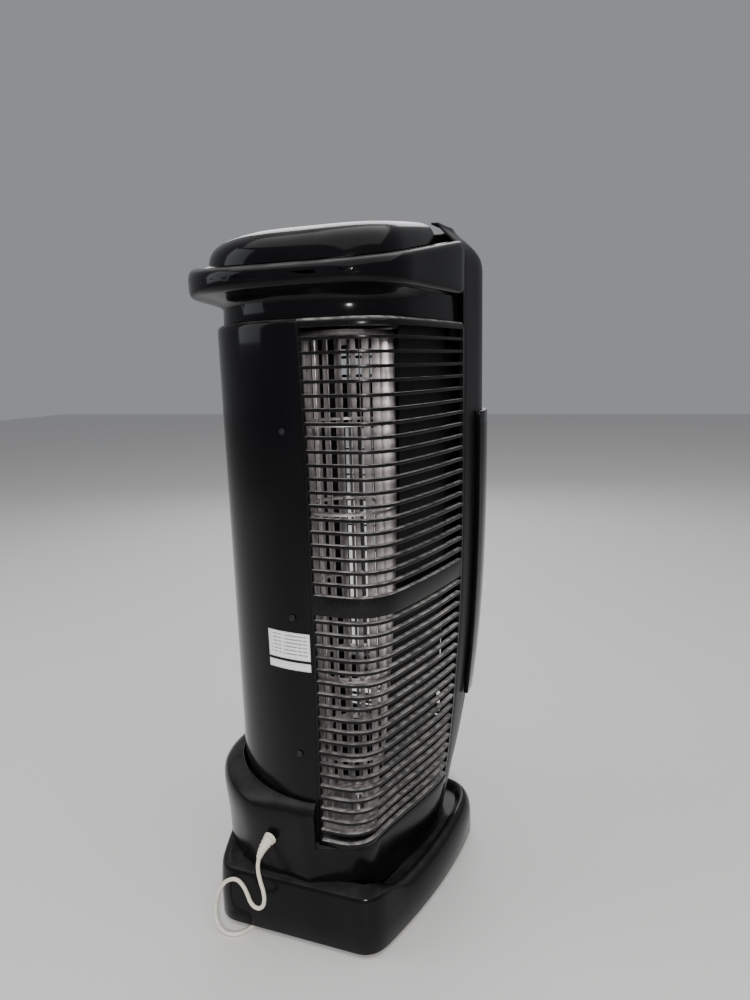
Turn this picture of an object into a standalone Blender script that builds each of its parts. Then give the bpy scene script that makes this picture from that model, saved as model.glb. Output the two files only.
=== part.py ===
"""A floor-standing tower blower: a tall, lopsided column on a flared foot.

The column holds a cross-flow wheel. Air enters through the barred grille that wraps the
rear right corner and leaves through swinging vanes in the front. Units are metres, +Z is
up, the front faces -Y and the origin is the middle of the foot, on the floor.
"""

import math

import bmesh
import bpy
import numpy as np

# ---- the column in plan ----
COLUMN_X = -0.019  # middle of the column, and of its front
COLUMN_R = 0.151  # radius of its round left side
REAR_Y = 0.150  # flat rear face, at the top
REAR_DRAFT = 0.008  # how far the rear face leans in at the bottom
LEAN_TOP = 0.667  # the right side narrows below this height
LEAN_SPAN = 0.535
CORNER_REACH = 0.040  # how far the rear right corner's rounding runs along each face
FRAME_BACK_Y = -0.055  # rear edge of the front frame
CASE_BACK_Y = -0.0542  # where the rear pieces stop, clear of it
FRONT_SIDE_Y = -0.105
WALL = 0.0025
GAP = 0.0004  # between neighbouring pieces

# ---- heights ----
FLOOR_EDGE_Z = 0.0065  # bottom edge of the foot's skirt
DECK_Z = 0.046
CASE_TOP_Z = 0.766
SHELL_BOTTOM_Z = 0.130
BOOT_REAR_Z = 0.186
BOOT_LEFT_Z = 0.189
GRILLE_BOTTOM_Z = 0.1265
LIP_BOTTOM_Z = 0.797
RIM_Z = 0.824  # the head's rim where it meets the rear face
RIM_SLOPE = 0.20  # the rim rises towards the front
DOME_TOP_Z = 0.890  # the lid's top at its front edge
DOME_SLOPE = 0.14

# ---- the foot ----
FOOT_HALF_DEPTH = 0.1665
FOOT_HALF_WIDTH = 0.166
FOOT_TAPER = 0.052
PAD_Z = 0.0072

SCREW_X = -0.009  # the rear screws stand in one column
SCREW_Z = (0.644, 0.425, 0.249)

# ---- the grille ----
BAR_TOP_Z = 0.7438
BAR_PITCH = 0.0153
BAR_COUNT = 41
BAR_THICK = 0.0036
BAR_DEPTH = 0.006
BAND_LOW_Z = 0.4307
BAND_HIGH_Z = 0.4549
BAND_ROWS = (19, 20)

# ---- the wheel ----
WHEEL_X = -0.030
WHEEL_Y = 0.012
WHEEL_R = 0.064
WHEEL_LOW_Z = 0.0955
WHEEL_HIGH_Z = 0.7535
WHEEL_STAGES = 6
WHEEL_BLADES = 12
SHAFT_R = 0.004
BORE_R = 0.0043

# ---- the front ----
OUTLET_LOW_Z = 0.262
OUTLET_HIGH_Z = 0.627
CASSETTE_LOW_Z = 0.239
CASSETTE_HIGH_Z = 0.650
CASSETTE_PROUD = 0.0074
WINDOW_HALF_WIDTH = 0.0905
VANE_COUNT = 7
VANE_PITCH = 0.0262
VANE_Y = -0.128
VANE_CHORD = 0.0235
LINK_ARM = 0.010
CRANK_Y = VANE_Y + LINK_ARM + 0.0095
CRANK_ARM = 0.0050

# ---- the controls ----
PANEL_Y = -0.083
PANEL_SINK = 0.008
KNOB_SPREAD = 0.058
KNOB_R = 0.019

# The pieces are laid out about the middle of the foot. The cassette stands out on the right
# and in front, so the middle of the whole fan lies this far from the foot's.
CENTRE_SHIFT_X = 0.0097
CENTRE_SHIFT_Y = 0.0034

# ---- the mains lead ----
CORD_R = 0.0025
COIL_X = 0.060
COIL_Y = -0.222
COIL_MID_R = 0.0284
COIL_HALF = 0.0105
PLUG_PINS = ((-0.0095, -0.0035, 0.0024), (0.0095, -0.0035, 0.0024), (0, 0.0045, 0.0034))

parts = None
cutters = None
looks = {}


def collection(name):
    group = bpy.data.collections.new(name)
    bpy.context.scene.collection.children.link(group)
    return group


def look(name, color, roughness, metallic=0.0):
    """The Principled material of one finish."""
    if name not in looks:
        mat = bpy.data.materials.new(name)
        mat.use_nodes = True
        shader = mat.node_tree.nodes["Principled BSDF"]
        shader.inputs["Base Color"].default_value = (*color, 1.0)
        shader.inputs["Roughness"].default_value = roughness
        shader.inputs["Metallic"].default_value = metallic
        mat.diffuse_color = (*color, 1.0)
        looks[name] = mat
    return looks[name]


def gloss_black():
    return look("gloss_black_plastic", (0.008, 0.008, 0.009), 0.18)


def satin_black():
    return look("satin_black_plastic", (0.015, 0.015, 0.016), 0.45)


def galvanised():
    return look("galvanised_steel", (0.62, 0.62, 0.60), 0.38, 1.0)


def bright_steel():
    return look("bright_steel", (0.72, 0.72, 0.72), 0.25, 1.0)


def brass():
    return look("sintered_bronze", (0.55, 0.38, 0.18), 0.40, 1.0)


def soft_rubber():
    return look("black_rubber", (0.02, 0.02, 0.02), 0.85)


def ivory():
    return look("ivory_pvc", (0.78, 0.75, 0.66), 0.45)


def paper():
    return look("white_label", (0.86, 0.87, 0.85), 0.50)


def grey_plastic():
    return look("grey_plastic", (0.30, 0.30, 0.31), 0.50)


def add(name, mesh, finish, place=(0, 0, 0), group=None):
    obj = bpy.data.objects.new(name, mesh)
    obj.location = place
    (group or parts).objects.link(obj)
    mesh.materials.append(finish)
    return obj


def as_cutter(obj):
    """Move an object among the cutters, where it is only a tool."""
    parts.objects.unlink(obj)
    cutters.objects.link(obj)
    obj.hide_render = True
    obj.display_type = "WIRE"
    return obj


def smooth(obj, degrees=35):
    obj.data.shade_smooth()
    obj.data.set_sharp_from_angle(angle=math.radians(degrees))


def mesh_from(bm, name):
    mesh = bpy.data.meshes.new(name)
    bm.to_mesh(mesh)
    bm.free()
    return mesh


def skin(name, rows, finish, keep=None, ring=False, caps=False, place=(0, 0, 0)):
    """A surface over rows of points, from the lowest row up; keep says which quads exist."""
    bm = bmesh.new()
    grid = [[bm.verts.new(p) for p in row] for row in rows]
    count = len(rows[0])
    for i in range(len(rows) - 1):
        for j in range(count if ring else count - 1):
            if keep is None or keep(i, j):
                k = (j + 1) % count
                bm.faces.new((grid[i][j], grid[i][k], grid[i + 1][k], grid[i + 1][j]))
    if caps:
        bm.faces.new(list(reversed(grid[0])))
        bm.faces.new(grid[-1])
    loose = [v for v in bm.verts if not v.link_faces]
    bmesh.ops.delete(bm, geom=loose, context="VERTS")
    obj = add(name, mesh_from(bm, name), finish, place)
    smooth(obj)
    return obj


def thicken(obj, thickness, offset=-1.0):
    mod = obj.modifiers.new("wall", "SOLIDIFY")
    mod.thickness = thickness
    mod.offset = offset
    return obj


def bevel(obj, width, segments=2):
    mod = obj.modifiers.new("rounded edges", "BEVEL")
    mod.width = width
    mod.segments = segments
    mod.limit_method = "ANGLE"
    mod.angle_limit = math.radians(40)
    return obj


def box(name, size, centre, finish, round_by=0.0, place=(0, 0, 0)):
    bm = bmesh.new()
    bmesh.ops.create_cube(bm, size=1.0)
    bmesh.ops.scale(bm, vec=size, verts=bm.verts)
    bmesh.ops.translate(bm, vec=centre, verts=bm.verts)
    obj = add(name, mesh_from(bm, name), finish, place)
    return bevel(obj, round_by) if round_by else obj


def cylinder(name, radius, low, high, finish, centre=(0, 0), sides=24, place=(0, 0, 0)):
    bm = bmesh.new()
    bmesh.ops.create_cone(bm, cap_ends=True, segments=sides, radius1=radius,
                          radius2=radius, depth=high - low)
    bmesh.ops.translate(bm, vec=(*centre, (low + high) / 2), verts=bm.verts)
    obj = add(name, mesh_from(bm, name), finish, place)
    smooth(obj)
    return obj


def turned(name, profile, finish, place=(0, 0, 0), steps=24, closed=False):
    """A profile of (radius, z), outer side from top to bottom, turned about Z."""
    bm = bmesh.new()
    verts = [bm.verts.new((r, 0, z)) for r, z in profile]
    for a, b in zip(verts, verts[1:]):
        bm.edges.new((a, b))
    if closed:
        bm.edges.new((verts[-1], verts[0]))
    obj = add(name, mesh_from(bm, name), finish, place)
    mod = obj.modifiers.new("turn", "SCREW")
    mod.steps = steps
    mod.render_steps = steps
    mod.use_merge_vertices = True
    mod.merge_threshold = 0.00005
    return obj


def flat_sheet(name, outlines, low, thickness, finish):
    """A flat sheet: its outline, and any holes in it, as closed 2D splines."""
    curve = bpy.data.curves.new(name, "CURVE")
    curve.dimensions = "2D"
    curve.fill_mode = "BOTH"
    curve.extrude = thickness / 2
    for points in outlines:
        spline = curve.splines.new("POLY")
        spline.points.add(len(points) - 1)
        spline.use_cyclic_u = True
        for slot, (x, y) in zip(spline.points, points):
            slot.co = (x, y, 0, 1)
    curve.materials.append(finish)
    obj = bpy.data.objects.new(name, curve)
    obj.location = (0, 0, low + thickness / 2)
    parts.objects.link(obj)
    return obj


def tube(name, points, radius, finish, resolution=2, radii=None, place=(0, 0, 0)):
    curve = bpy.data.curves.new(name, "CURVE")
    curve.dimensions = "3D"
    curve.bevel_depth = radius
    curve.bevel_resolution = resolution
    curve.use_fill_caps = True
    spline = curve.splines.new("POLY")
    spline.points.add(len(points) - 1)
    for i, (slot, p) in enumerate(zip(spline.points, points)):
        slot.co = (*p, 1)
        slot.radius = radii[i] if radii else 1.0
    curve.materials.append(finish)
    obj = bpy.data.objects.new(name, curve)
    obj.location = place
    parts.objects.link(obj)
    return obj


def solid_from_curve(obj):
    """The same shape as a closed mesh, ready to be cut."""
    bpy.context.view_layer.update()
    graph = bpy.context.evaluated_depsgraph_get()
    mesh = bpy.data.meshes.new_from_object(obj.evaluated_get(graph))
    bm = bmesh.new()
    bm.from_mesh(mesh)
    bmesh.ops.remove_doubles(bm, verts=bm.verts, dist=0.00001)
    bm.to_mesh(mesh)
    bm.free()
    name = obj.name
    curve = obj.data
    new = bpy.data.objects.new(name + "_solid", mesh)
    new.matrix_world = obj.matrix_world
    parts.objects.link(new)
    bpy.data.objects.remove(obj, do_unlink=True)
    bpy.data.curves.remove(curve)
    new.name = name
    return new


def boolean(obj, tool, operation="DIFFERENCE"):
    mod = obj.modifiers.new(operation.lower(), "BOOLEAN")
    mod.operation = operation
    mod.object = as_cutter(tool)
    return obj


def circle(centre, radius, count=24):
    turn = 2 * math.pi / count
    return [(centre[0] + radius * math.cos(i * turn), centre[1] + radius * math.sin(i * turn))
            for i in range(count)]


def smooth_route(knots, spacing):
    """Evenly spaced points along the smooth curve through some knots."""
    knots = [np.array(k, float) for k in knots]
    ends = [2 * knots[0] - knots[1], *knots, 2 * knots[-1] - knots[-2]]
    fine = []
    for a, b, c, d in zip(ends, ends[1:], ends[2:], ends[3:]):
        for t in np.linspace(0, 1, 20, endpoint=False):
            fine.append(0.5 * (2 * b + (c - a) * t + (2 * a - 5 * b + 4 * c - d) * t**2
                               + (3 * b - a - 3 * c + d) * t**3))
    fine.append(knots[-1])
    fine = np.array(fine)
    run = np.concatenate([[0], np.cumsum(np.linalg.norm(np.diff(fine, axis=0), axis=1))])
    count = max(2, round(run[-1] / spacing) + 1)
    wanted = np.linspace(0, run[-1], count)
    return [tuple(float(np.interp(w, run, fine[:, k])) for k in range(3)) for w in wanted]


# ---- outlines of the column ----


def lean(z):
    return min(1.15, max(0.0, (LEAN_TOP - z) / LEAN_SPAN))


def rear_y(z):
    return REAR_Y - REAR_DRAFT * min(1.0, max(0.0, (0.75 - z) / 0.62))


def through(knots, y):
    """The cubic through four (y, x) knots."""
    total = 0.0
    for i, (yi, xi) in enumerate(knots):
        term = xi
        for j, (yj, _) in enumerate(knots):
            if j != i:
                term *= (y - yj) / (yi - yj)
        total += term
    return total


def side_x(z, y):
    """The right side of the column, which narrows towards the floor."""
    t = lean(z)
    knots = (
        (rear_y(z), -0.124 + 0.032 * t**1.3),
        (0.030, -0.155 + 0.034 * t**2),
        (-0.045, -0.168 + 0.027 * t**2.5),
        (FRONT_SIDE_Y, -0.178 + 0.038 * t**3),
    )
    return through(knots, y)


def left_x(z, y):
    """The left side from the round flank to the front, which mirrors the front's right edge."""
    front = 2 * COLUMN_X - side_x(z, FRONT_SIDE_Y)
    return COLUMN_X + COLUMN_R + (front - COLUMN_X - COLUMN_R) * (y / FRONT_SIDE_Y) ** 2


def grille_left_x(z):
    up = (z - 0.132) / 0.612
    return -0.029 - 0.016 * up + 0.0135 * up**2


def mix(a, b, t):
    return (a[0] + (b[0] - a[0]) * t, a[1] + (b[1] - a[1]) * t)


def corner_curve(z, reach, stops):
    """The rounded rear right corner, from the rear face to the side."""
    y = rear_y(z)
    corner = (side_x(z, y), y)
    start = (corner[0] + reach, y)
    end = (side_x(z, y - reach), y - reach)
    return [mix(mix(start, corner, t), mix(corner, end, t), t) for t in stops]


def flank(z, steps=12):
    """The round left flank, from the left side to the rear face."""
    quarter = math.pi / 2
    return [(COLUMN_X + COLUMN_R * math.cos(quarter * i / steps),
             rear_y(z) * math.sin(quarter * i / steps)) for i in range(steps + 1)]


def shell_path(z):
    left = [(left_x(z, y), y) for y in (CASE_BACK_Y, -0.028)]
    return [*left, *flank(z), (grille_left_x(z) + GAP, rear_y(z))]


def grille_path(z):
    start = grille_left_x(z)
    y = rear_y(z)
    corner = corner_curve(z, CORNER_REACH, (0, 0.2, 0.46, 0.54, 0.8, 1))
    first = y - CORNER_REACH
    last = CASE_BACK_Y
    ys = [first + (last + 0.004 - first) * i / 3 for i in range(1, 4)]
    side = [(side_x(z, v), v) for v in [*ys, last]]
    return [(start, y), (start - 0.003, y), *corner, *side]


def case_path(z, reach=CORNER_REACH, back=CASE_BACK_Y):
    """The whole open outline of the rear casing, left side to right side."""
    y = rear_y(z)
    left = [(left_x(z, v), v) for v in (back, back / 2)]
    corner = corner_curve(z, reach, (0, 0.2, 0.4, 0.6, 0.8, 1))
    first = y - reach
    side = [(side_x(z, first + (back - first) * i / 4), first + (back - first) * i / 4)
            for i in range(1, 5)]
    return [*left, *flank(z), *corner, *side]


def shifted(path, distance):
    """Move an open path outwards; distance is a number or a function of the point."""
    out = []
    for i, (x, y) in enumerate(path):
        a = path[max(0, i - 1)]
        b = path[min(len(path) - 1, i + 1)]
        dx, dy = b[0] - a[0], b[1] - a[1]
        size = math.hypot(dx, dy)
        d = distance(x, y) if callable(distance) else distance
        out.append((x + dy / size * d, y - dx / size * d))
    return out


def at_height(path, z):
    return [(x, y, z(x, y) if callable(z) else z) for x, y in path]


def level_back(path, y=CASE_BACK_Y):
    """Bring the two ends of a path back onto one line across the column."""
    return [(path[0][0], y), *path[1:-1], (path[-1][0], y)]


def ease(value, low, high):
    t = min(1.0, max(0.0, (value - low) / (high - low)))
    return t * t * (3 - 2 * t)


# ---- the foot ----


def foot_half_width(y):
    t = max(0.0, (y + 0.10) / 0.25)
    return FOOT_HALF_WIDTH - FOOT_TAPER * t**1.8


def foot_half_outline():
    """The right half of the foot's outline, from the middle of the rear to the front."""
    d = FOOT_HALF_DEPTH
    rear_w = foot_half_width(d)
    points = [(0, d), (-rear_w / 2, d)]
    start, corner = (-rear_w + 0.024, d), (-rear_w, d)
    end = (-foot_half_width(d - 0.026), d - 0.026)
    points += [mix(mix(start, corner, t), mix(corner, end, t), t) for t in np.linspace(0, 1, 5)]
    points += [(-foot_half_width(y), y) for y in (0.100, 0.050, 0.000, -0.055)]
    start, corner, end = (-FOOT_HALF_WIDTH, -0.100), (-FOOT_HALF_WIDTH, -d), (-0.095, -d)
    points += [mix(mix(start, corner, t), mix(corner, end, t), t) for t in np.linspace(0, 1, 6)]
    return [*points, (-0.045, -d)]


def foot_outline():
    right = foot_half_outline()
    left = [(-x, y) for x, y in right[1:]]
    return [*right, (0, -FOOT_HALF_DEPTH), *reversed(left)]


def ring_shift(points, distance):
    """Move a closed outline; positive distances go outwards."""
    out = []
    count = len(points)
    for i, (x, y) in enumerate(points):
        a, b = points[i - 1], points[(i + 1) % count]
        dx, dy = b[0] - a[0], b[1] - a[1]
        size = math.hypot(dx, dy)
        d = distance(x, y) if callable(distance) else distance
        out.append((x + dy / size * d, y - dx / size * d))
    return out


def rearness(x, y):
    """Where the foot rises to meet the boot instead of falling to the deck: rear and left."""
    return max(ease(y, 0.085, 0.150), ease(x, 0.045, 0.095))


def foot():
    """The foot: a flared skirt with a fat rounded ridge round a sunken deck."""
    outline = foot_outline()
    levels = (  # inset and height at the sides, inset and height at the rear
        (0.0, FLOOR_EDGE_Z, 0.0, FLOOR_EDGE_Z),
        (0.0, 0.030, 0.0, 0.034),
        (0.002, 0.044, 0.001, 0.058),
        (0.007, 0.054, 0.0025, 0.072),
        (0.012, 0.058, 0.0045, 0.0795),
        (0.017, 0.056, 0.008, 0.0805),
        (0.0215, 0.049, 0.030, 0.0795),
        (0.0240, DECK_Z, 0.040, 0.060),
        (0.030, DECK_Z, 0.046, DECK_Z),
    )
    rows = []
    for side_in, side_z, rear_in, rear_z in levels:
        path = ring_shift(outline, lambda x, y: -(side_in + (rear_in - side_in) * rearness(x, y)))
        origin = outline
        rows.append([(p[0], p[1], side_z + (rear_z - side_z) * rearness(*o))
                     for p, o in zip(path, origin)])
    shell = skin("foot", rows, gloss_black(), ring=True)
    bm = bmesh.new()
    bm.from_mesh(shell.data)
    bm.verts.ensure_lookup_table()
    top = bm.verts[len(bm.verts) - len(outline):]
    bm.faces.new(top)
    bm.to_mesh(shell.data)
    bm.free()
    thicken(shell, 0.003)


def floor_plate():
    outline = ring_shift(foot_outline(), -0.0055)
    flat_sheet("floor_plate", [outline], PAD_Z + 0.0004, 0.002, galvanised())


def pads():
    """Four rubber pads that carry the foot."""
    places = {"rear_right": (-0.092, 0.135), "rear_left": (0.092, 0.135),
              "front_right": (-0.125, -0.120), "front_left": (0.125, -0.120)}
    for where, (x, y) in places.items():
        pad = turned("pad_" + where, [(0, PAD_Z), (0.015, PAD_Z), (0.014, 0.0), (0, 0.0)],
                     soft_rubber(), (x, y, 0), steps=20)
        smooth(pad)


# ---- the lower housing ----


def boot_swell(x, y):
    """How far the boot stands out from the column: most at the rear left, nothing on the right."""
    rear = 0.0125 * ease(x, -0.055, -0.022)
    flare = 0.0145 * ease(x, 0.0, 0.060) * ease(y, -0.020, 0.070)
    return 0.0012 + (rear + flare) * (1 - 0.5 * ease(-y, 0.0, 0.055))


def boot_top(x, y):
    return BOOT_REAR_Z + (BOOT_LEFT_Z - BOOT_REAR_Z) * ease(x, 0.0, 0.12)


def boot_foot(x, y):
    """The height of the boot's lower edge: on the deck, or on the foot's shoulder."""
    return DECK_Z + 0.0006 + (0.0815 - DECK_Z) * max(ease(y, 0.085, 0.138), ease(x, 0.050, 0.085))


def lower_housing():
    """The boot that wraps the column's lower end and stands on the foot."""
    clear = WALL + 0.0008
    rows = []
    sections = (  # height share from the foot to the boot's top, and share of the swell
        (0.00, 0.82), (0.25, 0.84), (0.50, 0.92), (0.74, 1.0), (0.86, 0.93), (0.94, 0.62), (1.0, 0.0),
    )
    for share, swell in sections:
        low = case_path(DECK_Z + (BOOT_REAR_Z - DECK_Z) * share)
        path = level_back(shifted(low, lambda x, y: clear * ease(x, -0.055, -0.030)
                                  + boot_swell(x, y) * swell))
        rows.append([(x, y, boot_foot(x, y) + (boot_top(x, y) - boot_foot(x, y)) * share) for x, y in path])
    shell = skin("lower_housing", rows, gloss_black())
    thicken(shell, WALL)
    notch = box("grille_notch", (0.30, 0.40, 0.20),
                (-0.0284 - 0.15, 0.06, GRILLE_BOTTOM_Z - 0.0006 + 0.10), gloss_black())
    boolean(shell, notch)


# ---- the rear shell and the grille ----


def shell_levels():
    """Height and inset of the casing's rows, up to its rounded top ledge."""
    heights = (0.20, 0.30, 0.40, 0.50, 0.60, 0.70)
    return [*[(z, 0.0) for z in heights], (0.7585, 0.0), (0.7635, -0.0018), (CASE_TOP_Z - 0.0004, -0.0065)]


def rear_shell():
    rows = []
    for z, inset in [(SHELL_BOTTOM_Z, 0.0), *shell_levels()]:
        path = shifted(shell_path(z), inset)
        path[0] = (path[0][0], CASE_BACK_Y)
        path[-1] = (grille_left_x(z) + GAP, path[-1][1])
        rows.append(at_height(path, z))
    shell = skin("rear_shell", rows, gloss_black())
    thicken(shell, WALL)
    for i, z in enumerate(SCREW_Z):
        hole = cylinder(f"screw_hole_{i + 1}", 0.0023, -0.02, 0.02, gloss_black(), sides=12)
        hole.rotation_euler = (math.pi / 2, 0, 0)
        hole.location = (SCREW_X, rear_y(z), z)
        boolean(shell, hole)


def rear_screws():
    """Pan-head screws that hold the shell to the scroll."""
    profile = [(0, 0.0028), (0.0030, 0.0022), (0.0040, 0.0006), (0.0040, 0.0), (0.0018, 0.0),
               (0.0018, -0.0100), (0, -0.0100)]
    for i, z in enumerate(SCREW_Z):
        across = (SCREW_X - COLUMN_X) / COLUMN_R
        y = rear_y(z) * math.sqrt(1 - across**2)
        screw = turned(f"rear_screw_{i + 1}", profile, bright_steel(), (SCREW_X, y + 0.0012, z), steps=12)
        screw.rotation_euler = (-math.pi / 2, 0, 0)
        smooth(screw)


def bar_bands():
    """Low and high edges of the grille's solid bands, from the bottom up."""
    bars = [(BAR_TOP_Z - BAR_PITCH * i - BAR_THICK / 2, BAR_TOP_Z - BAR_PITCH * i + BAR_THICK / 2)
            for i in range(BAR_COUNT) if i not in BAND_ROWS]
    bars.append((BAND_LOW_Z, BAND_HIGH_Z))
    bars = sorted(bars)
    bars[0] = (GRILLE_BOTTOM_Z, bars[0][1])
    return bars


def intake_grille():
    """Bars that wrap the rear right corner, held by ribs at both ends."""
    rows = []
    solid = []
    for low, high in bar_bands():
        rows += [at_height(grille_path(low), low), at_height(grille_path(high), high)]
        solid += [True, False]
    rows.append(at_height(grille_path(0.7560), 0.7560))
    solid += [True, True]
    for z, inset in shell_levels()[-2:]:
        path = shifted(grille_path(z), inset)
        path[-1] = (path[-1][0], CASE_BACK_Y)
        rows.append(at_height(path, z))
        solid.append(True)
    ribs = (0, 10)
    grille = skin("intake_grille", rows, gloss_black(), keep=lambda i, j: solid[i] or j in ribs)
    thicken(grille, BAR_DEPTH)


def label_patch(name, x_left, x_right, low, high):
    """A thin sticker that follows the shell's rear face."""
    rows = []
    for z in (low, high):
        row = []
        for i in range(7):
            x = x_left + (x_right - x_left) * i / 6
            across = max(0.0, (x - COLUMN_X) / COLUMN_R)
            row.append((x, rear_y(z) * math.sqrt(1 - across**2) + 0.0010, z))
        rows.append(row)
    thicken(skin(name, rows, paper()), 0.00025)


def labels():
    label_patch("rating_label", 0.028, -0.030, 0.372, 0.406)
    label_patch("serial_label", 0.028, -0.030, 0.3585, 0.3685)


# ---- the front ----


def front_face_y(z):
    return -(0.166 - 0.028 * lean(z) ** 3)


def front_path(z, back=FRAME_BACK_Y):
    """The front frame's outline, from the right side round the front to the left side."""
    right = side_x(z, FRONT_SIDE_Y)
    face = front_face_y(z)
    sides = [(side_x(z, back), back), (side_x(z, (back + FRONT_SIDE_Y) / 2), (back + FRONT_SIDE_Y) / 2)]
    start, corner, end = (right, FRONT_SIDE_Y), (right - 0.002, face), (right + 0.026, face)
    turn = [mix(mix(start, corner, t), mix(corner, end, t), t) for t in (0, 0.3, 0.55, 0.8, 1)]
    window_edge = max(COLUMN_X - WINDOW_HALF_WIDTH, right + 0.032)
    half = [*sides, *turn, (window_edge, face)]
    mirror = [(2 * COLUMN_X - x, y) for x, y in reversed(half)]
    return [*half, *mirror]


def crown(z):
    """How far the head's front narrows and falls back at its rounded top."""
    t = ease(z, 0.826, 0.893)
    return 0.036 * t**2.2


def front_frame_rows(levels):
    rows = []
    for z in levels:
        path = front_path(z)
        pull = crown(z)
        narrow = 1 - pull / 0.157
        rows.append([(COLUMN_X + (x - COLUMN_X) * narrow, y + pull * 0.55 * ease(-y, 0.08, 0.15), z)
                     for x, y in path])
    lip = [(COLUMN_X + (x - COLUMN_X) * 0.92, y + 0.009 * ease(-y, 0.08, 0.15), z + 0.0006)
           for x, y, z in rows[-1]]
    return [*rows, lip]


def front_frame():
    """The bowed front moulding, open where the air leaves."""
    levels = [0.050, 0.110, 0.170, 0.212, 0.255, 0.340, 0.480, 0.634, 0.690,
              0.740, 0.808, 0.846, 0.870, 0.883, 0.888]
    rows = front_frame_rows(levels)
    face = (7,)
    windows = [(0.170, 0.212), (0.255, 0.634), (0.690, 0.740)]

    def keep(i, j):
        open_row = any(low <= levels[i] < high for low, high in windows)
        return not (open_row and j in face)

    frame = skin("front_frame", rows, satin_black(), keep=keep)
    thicken(frame, WALL)


def outlet_slats():
    """Fixed slats in the two short outlets above and below the vanes."""
    for where, low, high in (("lower", 0.170, 0.212), ("upper", 0.690, 0.740)):
        count = 4
        rows, solid = [], []
        edges = [low - 0.006]
        step = (high - low + 0.006) / count
        for i in range(count):
            edges += [low - 0.003 + step * i + step * 0.70, low - 0.003 + step * (i + 1)]
        edges[-1] = high + 0.006
        edges.insert(1, low + 0.001)
        for i, z in enumerate(edges):
            y = front_face_y(z) + WALL + 0.0009
            xs = (-0.099, -0.093, 0.093, 0.099)
            rows.append([(COLUMN_X + x, y, z) for x in xs])
            solid.append(i % 2 == 0)
        slats = skin(f"outlet_slats_{where}", rows, satin_black(),
                     keep=lambda i, j: solid[i] or j != 1)
        thicken(slats, 0.004)


def louvre_cassette():
    """The raised frame over the main outlet, with its fixed cross slats."""
    slat_count = 8
    gap = (OUTLET_HIGH_Z - OUTLET_LOW_Z) / (slat_count + 1)
    levels = [CASSETTE_LOW_Z, OUTLET_LOW_Z]
    solid = [True]
    for i in range(1, slat_count + 1):
        z = OUTLET_LOW_Z + gap * i
        levels += [z - 0.0014, z + 0.0014]
        solid += [False, True]
    levels += [OUTLET_HIGH_Z, CASSETTE_HIGH_Z]
    solid += [False, True]
    rows = []
    for z in levels:
        path = front_path(z, back=-0.088)[1:-1]
        path = shifted(path, CASSETTE_PROUD)
        rows.append(at_height(path, z))
    middle = len(rows[0]) // 2 - 1
    cassette = skin("louvre_cassette", rows, gloss_black(), keep=lambda i, j: solid[i] or j != middle)
    thicken(cassette, CASSETTE_PROUD - 0.0009)


def vane_x(i):
    return COLUMN_X + (i - (VANE_COUNT - 1) / 2) * VANE_PITCH


def vane_rails():
    """The two rails whose holes carry the vanes' pins."""
    length = VANE_PITCH * (VANE_COUNT - 1) + 0.018
    for where, low in (("lower", OUTLET_LOW_Z + 0.001), ("upper", OUTLET_HIGH_Z - 0.004)):
        rail = box("vane_rail_" + where, (length, 0.011, 0.003), (COLUMN_X, VANE_Y, low + 0.0015),
                   satin_black())
        for i in range(VANE_COUNT):
            hole = cylinder(f"pin_hole_{where}_{i + 1}", 0.0019, -0.01, 0.01, satin_black(), sides=8)
            hole.location = (vane_x(i), VANE_Y, low + 0.0015)
            boolean(rail, hole)


def vane(i):
    """One swinging vane: a flat lens-shaped blade with a pin at each end and a drive pin."""
    low, high = OUTLET_LOW_Z + 0.0095, OUTLET_HIGH_Z - 0.0055
    half = VANE_CHORD / 2
    lens = [(0.0, half), (-0.0011, half * 0.4), (-0.0011, -half * 0.4), (0.0, -half),
            (0.0011, -half * 0.4), (0.0011, half * 0.4)]
    rows = [[(x, y, z) for x, y in lens] for z in (low, high)]
    blade = skin(f"vane_{i + 1}", rows, satin_black(), ring=True, caps=True, place=(vane_x(i), VANE_Y, 0))
    ends = ((0.0015, OUTLET_LOW_Z + 0.0012, low + 0.002, 0.0),
            (0.0015, high - 0.002, OUTLET_HIGH_Z - 0.0012, 0.0),
            (0.0011, OUTLET_LOW_Z + 0.0050, low + 0.002, LINK_ARM))
    for k, (radius, bottom, top, back) in enumerate(ends):
        pin = cylinder(f"vane_{i + 1}_pin_{k}", radius, bottom, top, satin_black(), (0, back), 8,
                       (vane_x(i), VANE_Y, 0))
        boolean(blade, pin, "UNION")


def vane_link():
    """The bar that swings all vanes together; each drive pin runs in a short slot."""
    low = OUTLET_LOW_Z + 0.0052
    length = VANE_PITCH * (VANE_COUNT - 1) + 0.016
    bar = box("vane_link", (length, 0.0085, 0.0022), (0, 0, low + 0.0011), grey_plastic(),
              place=(COLUMN_X, VANE_Y + LINK_ARM, 0))
    for i in range(VANE_COUNT):
        slot = box(f"link_slot_{i + 1}", (0.0036, 0.0056, 0.02), (0, -0.0004, low), grey_plastic(),
                   place=(vane_x(i), VANE_Y + LINK_ARM, 0))
        boolean(bar, slot)
    tail = box("link_tail", (0.009, 0.016, 0.0022), (0, 0.0110, low + 0.0011), grey_plastic(),
               place=(COLUMN_X, VANE_Y + LINK_ARM, 0))
    boolean(bar, tail, "UNION")
    slot = box("crank_slot", (0.0052, 0.0142, 0.02), (0, 0.0095, low), grey_plastic(),
               place=(COLUMN_X, VANE_Y + LINK_ARM, 0))
    boolean(bar, slot)


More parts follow.
